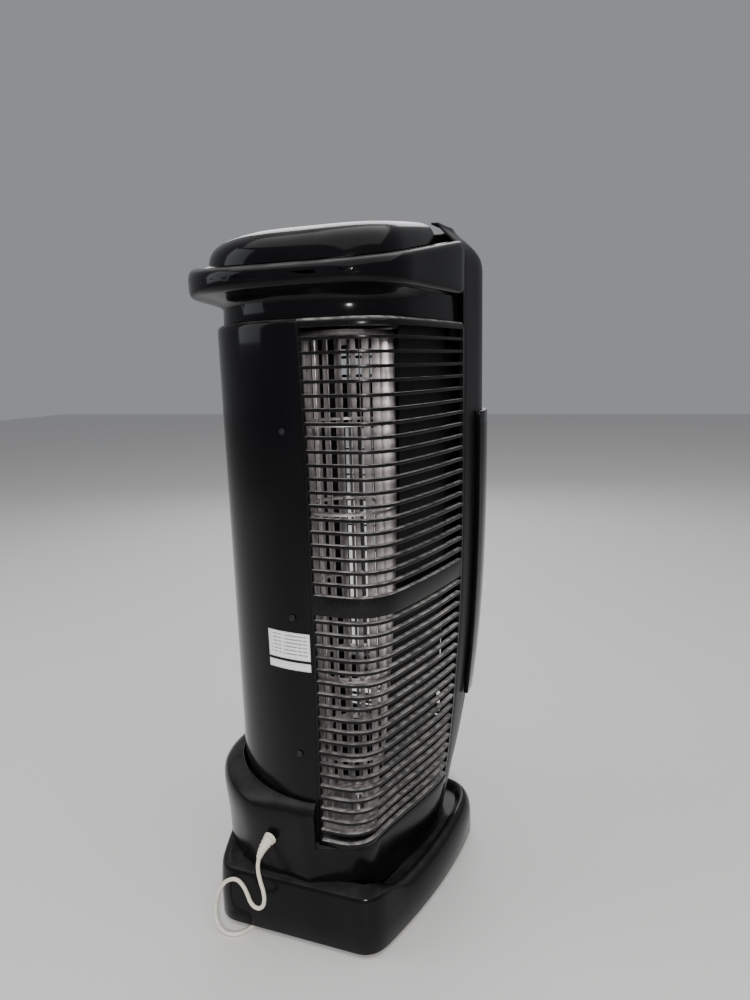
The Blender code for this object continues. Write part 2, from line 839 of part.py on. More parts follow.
def swing_drive():
    """A small geared motor under the link, with its crank."""
    top = OUTLET_LOW_Z - 0.004
    turned("swing_motor", [(0, top), (0.018, top), (0.0195, top - 0.0015), (0.0195, top - 0.016),
                           (0.018, top - 0.0175), (0, top - 0.0175)], galvanised(),
           (COLUMN_X, CRANK_Y, 0), steps=24)
    crank = turned("swing_crank", [(0, top + 0.0055), (0.0085, top + 0.0055), (0.0085, top + 0.0004),
                                   (0, top + 0.0004)], grey_plastic(), (COLUMN_X, CRANK_Y, 0), steps=20)
    pin = cylinder("crank_pin", 0.0014, top + 0.004, OUTLET_LOW_Z + 0.0070, grey_plastic(),
                   (0, CRANK_ARM), 10, (COLUMN_X, CRANK_Y, 0))
    boolean(crank, pin, "UNION")
    box("swing_bracket", (0.050, 0.034, 0.0015), (COLUMN_X, CRANK_Y + 0.006, top - 0.0187), galvanised())


# ---- the blower inside ----


def vertical_wall(name, path, low, high, thickness, finish):
    rows = [at_height(path, z) for z in (low, high)]
    return thicken(skin(name, rows, finish), thickness, 0.0)


PLATE_LOW_Z = 0.0885
PLATE_HIGH_Z = 0.7600
PLATE_THICK = 0.0012


def scroll_wall():
    """The volute behind the wheel: its radius grows from the rear round to the front."""
    points = []
    for i in range(15):
        turn = math.radians(48 - 108 * i / 14)
        radius = WHEEL_R + 0.0155 + 0.0275 * (i / 14) ** 1.2
        points.append((WHEEL_X + radius * math.cos(turn), WHEEL_Y + radius * math.sin(turn)))
    points.append((0.062, -0.104))
    vertical_wall("scroll_wall", points, PLATE_LOW_Z + 0.0016, PLATE_HIGH_Z - GAP, 0.0015, satin_black())


def baffle_wall():
    """The dark wall behind the side bars, with the tongue that closes on the wheel."""
    tongue = [(-0.108, -0.033), (-0.0945, -0.020), (-0.082, -0.045), (-0.070, -0.062),
              (-0.080, -0.084), (-0.108, -0.100)]
    rows = []
    for z in (PLATE_LOW_Z + 0.0016, 0.20, 0.32, 0.44, 0.56, PLATE_HIGH_Z - GAP):
        side = [(side_x(z, y) + 0.0185, y) for y in (0.082, 0.045, 0.000, -0.035)]
        rows.append(at_height([*side, *tongue], z))
    thicken(skin("baffle_wall", rows, satin_black()), 0.0015, 0.0)


def end_plate(name, low, inset, hole_r):
    path = shifted(case_path(low), -inset)
    outline = level_back(path)
    hole = circle((WHEEL_X, WHEEL_Y), hole_r)
    flat_sheet(name, [outline, hole], low, PLATE_THICK, galvanised())


def wheel():
    """The cross-flow wheel: stages of straight blades between rings."""
    stage = (WHEEL_HIGH_Z - WHEEL_LOW_Z) / WHEEL_STAGES
    half_ring = 0.0016
    levels = []
    for i in range(WHEEL_STAGES + 1):
        z = WHEEL_LOW_Z + stage * i
        low = z if i == 0 else z - half_ring
        high = z if i == WHEEL_STAGES else z + half_ring
        levels += [low, high]
    rows = []
    for z in levels:
        row = []
        for k in range(WHEEL_BLADES):
            for part in (0.0, 0.17):
                turn = 2 * math.pi * (k + part) / WHEEL_BLADES
                row.append((WHEEL_R * math.cos(turn), WHEEL_R * math.sin(turn), z))
        rows.append(row)
    cage = skin("wheel", rows, galvanised(), ring=True, keep=lambda i, j: i % 2 == 0 or j % 2 == 0,
                place=(WHEEL_X, WHEEL_Y, 0))
    thicken(cage, 0.009)


def wheel_ends():
    low, high = WHEEL_LOW_Z - 0.0004, WHEEL_HIGH_Z + 0.0004
    place = (WHEEL_X, WHEEL_Y, 0)
    top = [(0.010, high + 0.0022), (0.0625, high + 0.0022), (0.0625, high), (0.010, high),
           (0.010, high - 0.014), (BORE_R, high - 0.014), (BORE_R, high + 0.0022)]
    bottom = [(0.010, low + 0.016), (0.010, low), (0.0625, low), (0.0625, low - 0.0024),
              (BORE_R, low - 0.0024), (BORE_R, low + 0.016)]
    turned("wheel_end_top", top, galvanised(), place, closed=True)
    turned("wheel_end_bottom", bottom, galvanised(), place, closed=True)


def bearings_and_motor():
    place = (WHEEL_X, WHEEL_Y, 0)
    top = PLATE_HIGH_Z + PLATE_THICK
    bush = [(BORE_R, top + 0.0110), (0.0120, top + 0.0110), (0.0120, top + 0.0032), (0.0170, top + 0.0032),
            (0.0170, top + 0.0004), (0.0120, top + 0.0004), (0.0120, top - 0.0026), (BORE_R, top - 0.0026)]
    turned("top_bearing", bush, brass(), place, closed=True, steps=24)
    cylinder("wheel_pin", SHAFT_R, WHEEL_HIGH_Z - 0.012, top + 0.0100, bright_steel(), sides=20, place=place)
    cylinder("motor_shaft", SHAFT_R, 0.0655, WHEEL_LOW_Z + 0.020, bright_steel(), sides=20, place=place)
    motor = [(0, 0.0650), (BORE_R, 0.0650), (BORE_R, 0.0868), (0.011, 0.0868), (0.012, 0.0835),
             (0.040, 0.0835), (0.045, 0.0795), (0.045, 0.0540), (0.042, 0.0510), (0, 0.0510)]
    turned("motor", motor, galvanised(), place)
    cradle = [(0.0495, 0.0640), (0.0495, 0.0495), (0.0600, 0.0495), (0.0600, 0.0464), (0.0380, 0.0464),
              (0.0380, 0.0506), (0.0456, 0.0506), (0.0456, 0.0640)]
    turned("motor_cradle", cradle, soft_rubber(), place, closed=True)
    turned("capacitor", [(0, 0.0790), (0.011, 0.0790), (0.0125, 0.0775), (0.0125, 0.0464), (0, 0.0464)],
           grey_plastic(), (0.060, 0.070, 0), steps=24)


# ---- the head ----


def rim_z(x, y):
    return RIM_Z + RIM_SLOPE * (0.145 - y)


def band_path():
    """The head band's outline: a wide visor on the left and rear, close to the case on the right."""
    radius, cx, cy = 0.139, 0.016, 0.024
    left = [(0.1345, CASE_BACK_Y), (0.1455, -0.030), (0.1525, -0.003)]
    arc = [(cx + radius * math.cos(a), cy + radius * math.sin(a)) for a in np.linspace(0, math.pi / 2, 9)]
    start, corner, end = (-0.060, 0.163), (-0.1400, 0.163), (-0.1490, 0.088)
    turn = [mix(mix(start, corner, t), mix(corner, end, t), t) for t in np.linspace(0, 1, 6)]
    right = [(-0.1545, 0.052), (-0.1615, 0.008), (-0.1665, -0.025), (-0.1702, CASE_BACK_Y)]
    return [*left, *[(float(x), float(y)) for x, y in arc], *turn, *right]


def neck_path():
    """The neck's outline with as many points as the band's."""
    z = CASE_TOP_Z
    y = rear_y(z)
    left = [(left_x(z, v), v) for v in (CASE_BACK_Y, -0.035, -0.014)]
    corner = corner_curve(z, 0.074, np.linspace(0, 1, 6))
    first, last = y - 0.074, CASE_BACK_Y
    side = [(side_x(z, first + (last - first) * i / 4), first + (last - first) * i / 4) for i in range(1, 5)]
    return [*left, *flank(z, 8), *corner, *side]


def head_housing():
    """Neck, visor lip and rim in one moulding."""
    back = CASE_BACK_Y
    neck, band = neck_path(), band_path()
    rows = [at_height(level_back(shifted(neck, -0.0080), back), CASE_TOP_Z + 0.0004),
            at_height(level_back(shifted(neck, -0.0085), back), 0.784)]
    under = [mix(a, b, 0.5) for a, b in zip(shifted(neck, -0.0085), shifted(band, -0.010))]
    rows.append(at_height(level_back(under, back), 0.7925))
    for inset, z in ((-0.0100, 0.7965), (-0.0035, 0.7985), (-0.0004, 0.8040), (0.0, 0.8120)):
        rows.append(at_height(level_back(shifted(band, inset), back), z))
    for inset, drop in ((0.0, 0.0120), (-0.0010, 0.0060), (-0.0045, 0.0012), (-0.0110, 0.0),
                        (-0.0200, 0.0), (-0.0260, 0.0040)):
        path = level_back(shifted(band, inset), back)
        rows.append(at_height(path, lambda x, y: rim_z(x, y) - drop - 0.002 * ease(x, 0.05, 0.14)))
    thicken(skin("head_housing", rows, gloss_black()), WALL)


def dome_path():
    """The lid's closed outline at its foot, the straight front last."""
    front = -0.033
    radius, cx, cy = 0.116, 0.010, 0.029
    left = [(0.1215, front), (0.1250, 0.000)]
    arc = [(cx + radius * math.cos(a), cy + radius * math.sin(a)) for a in np.linspace(0.05, math.pi / 2, 9)]
    start, corner, end = (-0.055, 0.145), (-0.1235, 0.145), (-0.1320, 0.078)
    turn = [mix(mix(start, corner, t), mix(corner, end, t), t) for t in np.linspace(0, 1, 7)]
    right = [(-0.1345, 0.045), (-0.1370, 0.005), (-0.1380, front)]
    across = [(-0.1380 + 0.2595 * i / 6, front) for i in range(1, 6)]
    return [*left, *[(float(x), float(y)) for x, y in arc], *turn, *right, *across]


def dome_top(y, front):
    return DOME_TOP_Z - DOME_SLOPE * (y - front)


def dome_lid():
    """The crowned lid, cut off square at its front."""
    outline = dome_path()
    front, middle = -0.033, COLUMN_X
    rows = []
    for size, rise in ((1.0, 0.0), (0.996, 0.16), (0.978, 0.42), (0.94, 0.64), (0.87, 0.80), (0.74, 0.91),
                       (0.52, 0.975), (0.26, 1.0)):
        row = []
        for x, y in outline:
            px = middle + (x - middle) * size
            py = front + (y - front) * size
            base = rim_z(px, y) + 0.0012 - 0.002 * ease(x, 0.05, 0.14)
            top = dome_top(py, front) - 0.006 * ease(px, 0.02, 0.12)
            row.append((px, py, base + (top - base) * rise))
        rows.append(row)
    rows[-1] = [(x, y, dome_top(y, front)) for x, y, _ in rows[-1]]
    lid = skin("dome_lid", rows, gloss_black(), ring=True)
    bm = bmesh.new()
    bm.from_mesh(lid.data)
    bm.verts.ensure_lookup_table()
    bm.faces.new(bm.verts[len(bm.verts) - len(outline):])
    bm.to_mesh(lid.data)
    bm.free()
    thicken(lid, WALL)


def on_panel(x, y, lift):
    """A point above the sunken control panel, and the panel's tilt."""
    z = rim_z(x, y) - PANEL_SINK
    tilt = math.atan(RIM_SLOPE)
    return (x, y + lift * math.sin(tilt), z + lift * math.cos(tilt))


def control_panel():
    tilt = -math.atan(RIM_SLOPE)
    size = (0.236, 0.078, 0.0025)
    panel = box("control_panel", size, (0, 0, -0.00125), satin_black(), place=on_panel(COLUMN_X, PANEL_Y, 0))
    panel.rotation_euler = (tilt, 0, 0)
    for side in (-1, 1):
        hole = cylinder(f"knob_hole_{side + 1}", 0.0045, -0.02, 0.02, satin_black(), sides=20)
        hole.location = on_panel(COLUMN_X + side * KNOB_SPREAD, PANEL_Y, 0)
        hole.rotation_euler = (tilt, 0, 0)
        boolean(panel, hole)
    hole = box("button_hole", (0.0130, 0.0200, 0.04), (0, 0, 0), satin_black())
    hole.location = on_panel(COLUMN_X, PANEL_Y, 0)
    hole.rotation_euler = (tilt, 0, 0)
    boolean(panel, hole)


def knobs_and_button():
    tilt = -math.atan(RIM_SLOPE)
    knob = [(0, 0.0150), (0.0150, 0.0150), (0.0172, 0.0138), (KNOB_R, 0.0010), (KNOB_R, 0.0006),
            (0.0030, 0.0006), (0.0030, -0.0115), (0, -0.0115)]
    for name, side in (("speed_knob", -1), ("timer_knob", 1)):
        place = on_panel(COLUMN_X + side * KNOB_SPREAD, PANEL_Y, 0)
        piece = turned(name, knob, satin_black(), place, steps=20)
        piece.rotation_euler = (tilt, 0, 0)
        grip = box(name + "_grip", (0.0050, 0.0340, 0.0050), (0, 0, 0.0160), satin_black(), place=place)
        grip.rotation_euler = (tilt, 0, 0)
        boolean(piece, grip, "UNION")
        smooth(piece)
    button = box("swing_button", (0.0122, 0.0192, 0.0100), (0, 0, 0.0010), grey_plastic(), 0.0008,
                 place=on_panel(COLUMN_X, PANEL_Y, 0))
    button.rotation_euler = (tilt, 0, 0)
    for name, side, depth in (("speed_switch", -1, 0.020), ("timer_movement", 1, 0.026)):
        body = box(name, (0.030, 0.028, depth), (0, 0, -0.0030 - depth / 2), grey_plastic(),
                   place=on_panel(COLUMN_X + side * KNOB_SPREAD, PANEL_Y, 0))
        body.rotation_euler = (tilt, 0, 0)
        bore = cylinder(name + "_bore", 0.0034, -0.0120, 0.0, grey_plastic(), sides=16)
        bore.location = on_panel(COLUMN_X + side * KNOB_SPREAD, PANEL_Y, 0)
        bore.rotation_euler = (tilt, 0, 0)
        boolean(body, bore)


# ---- the mains lead ----

GLAND_KNOTS = ((0.0300, 0.1605, 0.1360), (0.0308, 0.1650, 0.1352), (0.0334, 0.1698, 0.1310),
               (0.0368, 0.1725, 0.1240), (0.0396, 0.1738, 0.1165))
GLAND_RADII = (0.0085, 0.0075, 0.0062, 0.0048, 0.0036)
CORD_KNOTS = (
    (0.0399, 0.1740, 0.1156),
    (0.0412, 0.1757, 0.1030),
    (0.0378, 0.1782, 0.0880),
    (0.0322, 0.1810, 0.0740),
    (0.0310, 0.1828, 0.0625),
    (0.0344, 0.1835, 0.0544),
    (0.0425, 0.1830, 0.0510),
    (0.0506, 0.1815, 0.0544),
    (0.0560, 0.1797, 0.0630),
    (0.0630, 0.1780, 0.0730),
    (0.0720, 0.1770, 0.0785),
    (0.0835, 0.1770, 0.0755),
    (0.0950, 0.1772, 0.0640),
    (0.1025, 0.1778, 0.0470),
    (0.1055, 0.1790, 0.0300),
    (0.1030, 0.1815, 0.0145),
    (0.0940, 0.1840, 0.0050),
    (0.0830, 0.1845, 0.0029),
    (0.0710, 0.1795, 0.0028),
    (0.0625, 0.1660, 0.0028),
    (0.0580, 0.1320, 0.0028),
    (0.0550, 0.0800, 0.0028),
    (0.0560, 0.0200, 0.0028),
    (0.0640, -0.0500, 0.0028),
    (0.0800, -0.1200, 0.0028),
    (0.0915, -0.1650, 0.0028),
    (0.0955, -0.2000, 0.0028),
)


def mains_lead():
    """Strain relief, lead, stored coil, tie and plug."""
    base = GLAND_RADII[0]
    gland = smooth_route(GLAND_KNOTS, 0.004)
    radii = [float(np.interp(i / (len(gland) - 1), np.linspace(0, 1, 5), GLAND_RADII)) / base
             for i in range(len(gland))]
    tube("cord_gland", gland, base, ivory(), 3, radii)
    tube("mains_cord", smooth_route(CORD_KNOTS, 0.0125), CORD_R, ivory())
    inner, outer, high = COIL_MID_R - COIL_HALF, COIL_MID_R + COIL_HALF, 0.0106
    place = (COIL_X, COIL_Y, 0)
    turned("cord_coil", [(outer, high), (outer, 0.0002), (inner, 0.0002), (inner, high)], ivory(), place,
           closed=True)
    plug()


def plug():
    """A moulded three-pin plug whose tapered neck meets the coil's outer turn."""
    neck_x = COIL_X - 0.0216
    y, z = COIL_Y - COIL_MID_R - 0.0079, 0.0104
    body = box("plug", (0.038, 0.034, 0.020), (0, 0, 0), ivory(), 0.003, place=(neck_x - 0.039, y, z))
    neck = tube("plug_neck", [(neck_x, y, 0.0082), (neck_x - 0.012, y, 0.0094), (neck_x - 0.024, y, z)],
                0.0062, ivory(), 2, (0.56, 0.80, 1.0))
    boolean(body, solid_from_curve(neck), "UNION")
    for k, (side, lift, radius) in enumerate(PLUG_PINS):
        pin = cylinder(f"plug_pin_{k}", radius, -0.037, -0.010, bright_steel(), sides=12)
        pin.rotation_euler = (0, math.pi / 2, 0)
        pin.location = (neck_x - 0.039, y + side, z + lift)
        boolean(body, pin, "UNION")


def centre_on_origin():
    """Hang everything on one empty, so that the origin is the middle of the whole fan's box."""
    frame = bpy.data.objects.new("fan_frame", None)
    bpy.context.scene.collection.objects.link(frame)
    for obj in [*parts.objects, *cutters.objects]:
        obj.parent = frame
    frame.location = (CENTRE_SHIFT_X, CENTRE_SHIFT_Y, 0)


def main():
    global parts, cutters
    for obj in list(bpy.data.objects):
        bpy.data.objects.remove(obj, do_unlink=True)
    parts = collection("tower_fan")
    cutters = collection("cutters")
    foot()
    floor_plate()
    pads()
    lower_housing()
    rear_shell()
    rear_screws()
    intake_grille()
    labels()
    front_frame()
    outlet_slats()
    louvre_cassette()
    vane_rails()
    for i in range(VANE_COUNT):
        vane(i)
    vane_link()
    swing_drive()
    scroll_wall()
    baffle_wall()
    end_plate("bottom_plate", PLATE_LOW_Z, 0.010, 0.0140)
    end_plate("top_plate", PLATE_HIGH_Z, 0.0095, 0.0125)
    wheel()
    wheel_ends()
    bearings_and_motor()
    head_housing()
    dome_lid()
    control_panel()
    knobs_and_button()
    mains_lead()
    centre_on_origin()


main()
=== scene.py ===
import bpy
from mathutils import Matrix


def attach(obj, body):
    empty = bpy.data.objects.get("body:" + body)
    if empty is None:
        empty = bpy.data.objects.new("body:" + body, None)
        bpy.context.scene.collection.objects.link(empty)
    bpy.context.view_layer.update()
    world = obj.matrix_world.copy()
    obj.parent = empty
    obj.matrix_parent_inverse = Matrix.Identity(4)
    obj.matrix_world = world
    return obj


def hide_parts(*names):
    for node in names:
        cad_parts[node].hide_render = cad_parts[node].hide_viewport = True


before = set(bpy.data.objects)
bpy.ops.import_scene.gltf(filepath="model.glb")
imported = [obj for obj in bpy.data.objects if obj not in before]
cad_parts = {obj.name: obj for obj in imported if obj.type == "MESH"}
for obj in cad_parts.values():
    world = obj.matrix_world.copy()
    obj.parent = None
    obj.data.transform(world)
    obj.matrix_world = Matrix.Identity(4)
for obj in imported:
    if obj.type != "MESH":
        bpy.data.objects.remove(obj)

"""The look of a floor-standing tower fan, on its CAD frame. Metres, +Z up, front at -Y."""
import math

import bmesh
import bpy
import numpy as np
from mathutils import Matrix, Vector

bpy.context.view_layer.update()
STAND, ROTOR = "stand", "rotor"
SHIFT = Vector((0.0097, 0.0034, 0.0))  # from the middle of the foot to the row's origin

# ---- sizes shared with the CAD, from the middle of the foot ----
COLUMN_X = -0.019  # middle of the column, and of its front
COLUMN_R = 0.151  # radius of its round left side
REAR_Y = 0.150  # flat rear face, at the top
REAR_DRAFT = 0.008  # how far the rear face leans in at the bottom
LEAN_TOP = 0.667  # the right side narrows below this height
LEAN_SPAN = 0.535
CORNER_REACH = 0.040  # how far the rear right corner's rounding runs along each face
FRAME_BACK_Y = -0.055  # rear edge of the front frame
CASE_BACK_Y = -0.0542  # where the rear pieces stop, clear of it
FRONT_SIDE_Y = -0.105
WALL = 0.0025
GAP = 0.0004  # between neighbouring pieces

FLOOR_EDGE_Z = 0.0065  # bottom edge of the foot's skirt
DECK_Z = 0.046
CASE_TOP_Z = 0.766
SHELL_BOTTOM_Z = 0.130
BOOT_REAR_Z = 0.186
BOOT_LEFT_Z = 0.189
GRILLE_BOTTOM_Z = 0.1265
RIM_Z = 0.824  # the head's rim where it meets the rear face
RIM_SLOPE = 0.20  # the rim rises towards the front
DOME_TOP_Z = 0.890  # the lid's top at its front edge
DOME_SLOPE = 0.14
LID_FRONT_Y = -0.033  # where the lid is cut off square
PANEL_Y = -0.083  # middle of the control panel
TRAY_SINK = 0.011  # from the rim down to the tray under the panel's edge

FOOT_HALF_DEPTH = 0.1665
FOOT_HALF_WIDTH = 0.166
FOOT_TAPER = 0.052

BAR_TOP_Z = 0.7438
BAR_PITCH = 0.0153
BAR_COUNT = 41
BAR_THICK = 0.0036
BAR_DEPTH = 0.006
BAND_LOW_Z = 0.4307
BAND_HIGH_Z = 0.4549
BAND_ROWS = (19, 20)

WHEEL_X = -0.030
WHEEL_Y = 0.012
WHEEL_R = 0.064
WHEEL_LOW_Z = 0.0955
WHEEL_HIGH_Z = 0.7535
WHEEL_STAGES = 6
BLADES = 24
RING_INNER_R = 0.0536
RING_HALF = 0.0016

OUTLET_LOW_Z = 0.262
OUTLET_HIGH_Z = 0.627
CASSETTE_LOW_Z = 0.239
CASSETTE_HIGH_Z = 0.650
CASSETTE_PROUD = 0.0074
WINDOW_HALF_WIDTH = 0.0905
FRAME_HALF_WIDTH = 0.157

# ---- the mains lead ----
CORD_R = 0.0025
COIL_X = 0.060
COIL_Y = -0.222


# ---- meshes ----


def add(name, mesh, finish, body=STAND, replaces=()):
    obj = bpy.data.objects.new(name, mesh)
    bpy.context.scene.collection.objects.link(obj)
    mesh.materials.append(finish)
    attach(obj, body)
    if replaces:
        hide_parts(*replaces)
    return obj


def mesh_from(bm, name):
    mesh = bpy.data.meshes.new(name)
    bm.to_mesh(mesh)
    bm.free()
    return mesh


def skin(name, rows, keep=None, ring=False, lid=False):
    """An open surface over rows of points, moved to the row's origin."""
    bm = bmesh.new()
    grid = [[bm.verts.new(Vector(p) + SHIFT) for p in row] for row in rows]
    count = len(rows[0])
    for i in range(len(rows) - 1):
        for j in range(count if ring else count - 1):
            if keep is None or keep(i, j):
                k = (j + 1) % count
                bm.faces.new((grid[i][j], grid[i][k], grid[i + 1][k], grid[i + 1][j]))
    if lid:
        bm.faces.new(grid[-1])
    bmesh.ops.delete(bm, geom=[v for v in bm.verts if not v.link_faces], context="VERTS")
    return mesh_from(bm, name)


def solid(mesh, thickness, edge=0.0, cut=None, offset=-1.0, segments=2, sharp=32):
    """Give a skin its wall and rounded edges, with an optional box cut away."""
    obj = bpy.data.objects.new("blank", mesh)
    bpy.context.scene.collection.objects.link(obj)
    wall = obj.modifiers.new("wall", "SOLIDIFY")
    wall.thickness = thickness
    wall.offset = offset
    cutter = None
    if cut:
        bm = bmesh.new()
        bmesh.ops.create_cube(bm, size=1.0)
        bmesh.ops.scale(bm, vec=Vector(cut[1]) - Vector(cut[0]), verts=bm.verts)
        bmesh.ops.translate(bm, vec=(Vector(cut[0]) + Vector(cut[1])) / 2 + SHIFT, verts=bm.verts)
        cutter = bpy.data.objects.new("cutter", mesh_from(bm, "cutter"))
        bpy.context.scene.collection.objects.link(cutter)
        notch = obj.modifiers.new("notch", "BOOLEAN")
        notch.object = cutter
    if edge:
        mod = obj.modifiers.new("edges", "BEVEL")
        mod.width = edge
        mod.segments = segments
        mod.limit_method = "ANGLE"
        mod.angle_limit = math.radians(40)
        mod.harden_normals = False
    bpy.context.view_layer.update()
    graph = bpy.context.evaluated_depsgraph_get()
    made = bpy.data.meshes.new_from_object(obj.evaluated_get(graph))
    name = mesh.name
    for spare in (obj, cutter):
        if spare:
            bpy.data.objects.remove(spare, do_unlink=True)
    bpy.data.meshes.remove(mesh)
    made.name = name
    made.shade_smooth()
    made.set_sharp_from_angle(angle=math.radians(sharp))
    return made


# ---- outlines of the column ----


def lean(z):
    return min(1.15, max(0.0, (LEAN_TOP - z) / LEAN_SPAN))


def rear_y(z):
    return REAR_Y - REAR_DRAFT * min(1.0, max(0.0, (0.75 - z) / 0.62))


def through(knots, y):
    """The cubic through four (y, x) knots."""
    total = 0.0
    for i, (yi, xi) in enumerate(knots):
        term = xi
        for j, (yj, _) in enumerate(knots):
            if j != i:
                term *= (y - yj) / (yi - yj)
        total += term
    return total


def side_x(z, y):
    """The right side of the column, which narrows towards the floor."""
    t = lean(z)
    knots = (
        (rear_y(z), -0.124 + 0.032 * t**1.3),
        (0.030, -0.155 + 0.034 * t**2),
        (-0.045, -0.168 + 0.027 * t**2.5),
        (FRONT_SIDE_Y, -0.178 + 0.038 * t**3),
    )
    return through(knots, y)


def left_x(z, y):
    """The left side from the round flank to the front, which mirrors the front's right edge."""
    front = 2 * COLUMN_X - side_x(z, FRONT_SIDE_Y)
    return COLUMN_X + COLUMN_R + (front - COLUMN_X - COLUMN_R) * (y / FRONT_SIDE_Y) ** 2


def grille_left_x(z):
    up = (z - 0.132) / 0.612
    return -0.029 - 0.016 * up + 0.0135 * up**2


GRILLE_STOPS = (0, 0.1, 0.2, 0.3, 0.4, 0.472, 0.528, 0.6, 0.7, 0.8, 0.9, 1)


def mix(a, b, t):
    return (a[0] + (b[0] - a[0]) * t, a[1] + (b[1] - a[1]) * t)


def corner_curve(z, reach, stops):
    """The rounded rear right corner, from the rear face to the side."""
    y = rear_y(z)
    corner = (side_x(z, y), y)
    start = (corner[0] + reach, y)
    end = (side_x(z, y - reach), y - reach)
    return [mix(mix(start, corner, t), mix(corner, end, t), t) for t in stops]


def flank(z, steps=40):
    """The round left flank, from the left side to the rear face."""
    quarter = math.pi / 2
    return [(COLUMN_X + COLUMN_R * math.cos(quarter * i / steps),
             rear_y(z) * math.sin(quarter * i / steps)) for i in range(steps + 1)]


def shell_path(z):
    left = [(left_x(z, y), y) for y in (CASE_BACK_Y, -0.028)]
    return [*left, *flank(z), (grille_left_x(z) + GAP, rear_y(z))]


def grille_path(z):
    start = grille_left_x(z)
    y = rear_y(z)
    corner = corner_curve(z, CORNER_REACH, GRILLE_STOPS)
    first = y - CORNER_REACH
    last = CASE_BACK_Y
    ys = [first + (last + 0.004 - first) * i / 9 for i in range(1, 10)]
    side = [(side_x(z, v), v) for v in [*ys, last]]
    return [(start, y), (start - 0.003, y), *corner, *side]


def case_path(z, reach=CORNER_REACH, back=CASE_BACK_Y):
    """The whole open outline of the rear casing, left side to right side."""
    y = rear_y(z)
    left = [(left_x(z, v), v) for v in (back, back / 2)]
    corner = corner_curve(z, reach, np.linspace(0, 1, 14))
    first = y - reach
    side = [(side_x(z, first + (back - first) * i / 10), first + (back - first) * i / 10)
            for i in range(1, 11)]
    return [*left, *flank(z), *corner, *side]


def shifted(path, distance):
    """Move an open path outwards; distance is a number or a function of the point."""
    out = []
    for i, (x, y) in enumerate(path):
        a = path[max(0, i - 1)]
        b = path[min(len(path) - 1, i + 1)]
        dx, dy = b[0] - a[0], b[1] - a[1]
        size = math.hypot(dx, dy)
        d = distance(x, y) if callable(distance) else distance
        out.append((x + dy / size * d, y - dx / size * d))
    return out


def at_height(path, z):
    return [(x, y, z(x, y) if callable(z) else z) for x, y in path]


def level_back(path, y=CASE_BACK_Y):
    """Bring the two ends of a path back onto one line across the column."""
    return [(path[0][0], y), *path[1:-1], (path[-1][0], y)]


def ease(value, low, high):
    t = min(1.0, max(0.0, (value - low) / (high - low)))
    return t * t * (3 - 2 * t)


# ---- the foot and the boot ----


def foot_half_width(y):
    t = max(0.0, (y + 0.10) / 0.25)
    return FOOT_HALF_WIDTH - FOOT_TAPER * t**1.8


def foot_half_outline():
    """The right half of the foot's outline, from the middle of the rear to the front."""
    d = FOOT_HALF_DEPTH
    rear_w = foot_half_width(d)
    points = [(0, d), (-rear_w / 2, d)]
    start, corner = (-rear_w + 0.024, d), (-rear_w, d)
    end = (-foot_half_width(d - 0.026), d - 0.026)
    points += [mix(mix(start, corner, t), mix(corner, end, t), t) for t in np.linspace(0, 1, 12)]
    points += [(-foot_half_width(y), y) for y in np.linspace(0.125, -0.080, 13)]
    start, corner, end = (-FOOT_HALF_WIDTH, -0.100), (-FOOT_HALF_WIDTH, -d), (-0.095, -d)
    points += [mix(mix(start, corner, t), mix(corner, end, t), t) for t in np.linspace(0, 1, 16)]
    return [*points, (-0.045, -d)]


def foot_outline():
    right = foot_half_outline()
    left = [(-x, y) for x, y in right[1:]]
    return [*right, (0, -FOOT_HALF_DEPTH), *reversed(left)]


def ring_shift(points, distance):
    """Move a closed outline; positive distances go outwards."""
    out = []
    count = len(points)
    for i, (x, y) in enumerate(points):
        a, b = points[i - 1], points[(i + 1) % count]
        dx, dy = b[0] - a[0], b[1] - a[1]
        size = math.hypot(dx, dy)
        d = distance(x, y) if callable(distance) else distance
        out.append((x + dy / size * d, y - dx / size * d))
    return out


def rearness(x, y):
    """Where the foot rises to meet the boot instead of falling to the deck: rear and left."""
    return max(ease(y, 0.085, 0.150), ease(x, 0.045, 0.095))


def foot(finish):
    """A flared skirt with a fat rounded ridge round a sunken deck."""
    outline = foot_outline()
    levels = (  # inset and height at the sides, inset and height at the rear
        (0.0, FLOOR_EDGE_Z, 0.0, FLOOR_EDGE_Z),
        (0.0, 0.030, 0.0, 0.034),
        (0.0008, 0.0385, 0.0004, 0.050),
        (0.002, 0.0445, 0.001, 0.059),
        (0.0042, 0.050, 0.0016, 0.067),
        (0.007, 0.0543, 0.0025, 0.0735),
        (0.0095, 0.0568, 0.0033, 0.0775),
        (0.012, 0.058, 0.0050, 0.0797),
        (0.0145, 0.0577, 0.0070, 0.0804),
        (0.017, 0.056, 0.012, 0.0804),
        (0.0195, 0.053, 0.020, 0.0800),
        (0.0215, 0.049, 0.030, 0.0795),
        (0.0228, 0.0475, 0.036, 0.070),
        (0.0240, DECK_Z, 0.040, 0.060),
        (0.030, DECK_Z, 0.046, DECK_Z),
    )
    rows = []
    for side_in, side_z, rear_in, rear_z in levels:
        path = ring_shift(outline, lambda x, y: -(side_in + (rear_in - side_in) * rearness(x, y)))
        rows.append([(*p, side_z + (rear_z - side_z) * rearness(*o)) for p, o in zip(path, outline)])
    add("foot_shell", solid(skin("foot_shell", rows, ring=True, lid=True), 0.003, 0.0004), finish,
        replaces=("foot",))


def boot_swell(x, y):
    """How far the boot stands out from the column."""
    rear = 0.0125 * ease(x, -0.055, -0.022)
    flare = 0.0145 * ease(x, 0.0, 0.060) * ease(y, -0.020, 0.070)
    return 0.0012 + (rear + flare) * (1 - 0.5 * ease(-y, 0.0, 0.055))


def boot_top(x, y):
    return BOOT_REAR_Z + (BOOT_LEFT_Z - BOOT_REAR_Z) * ease(x, 0.0, 0.12)


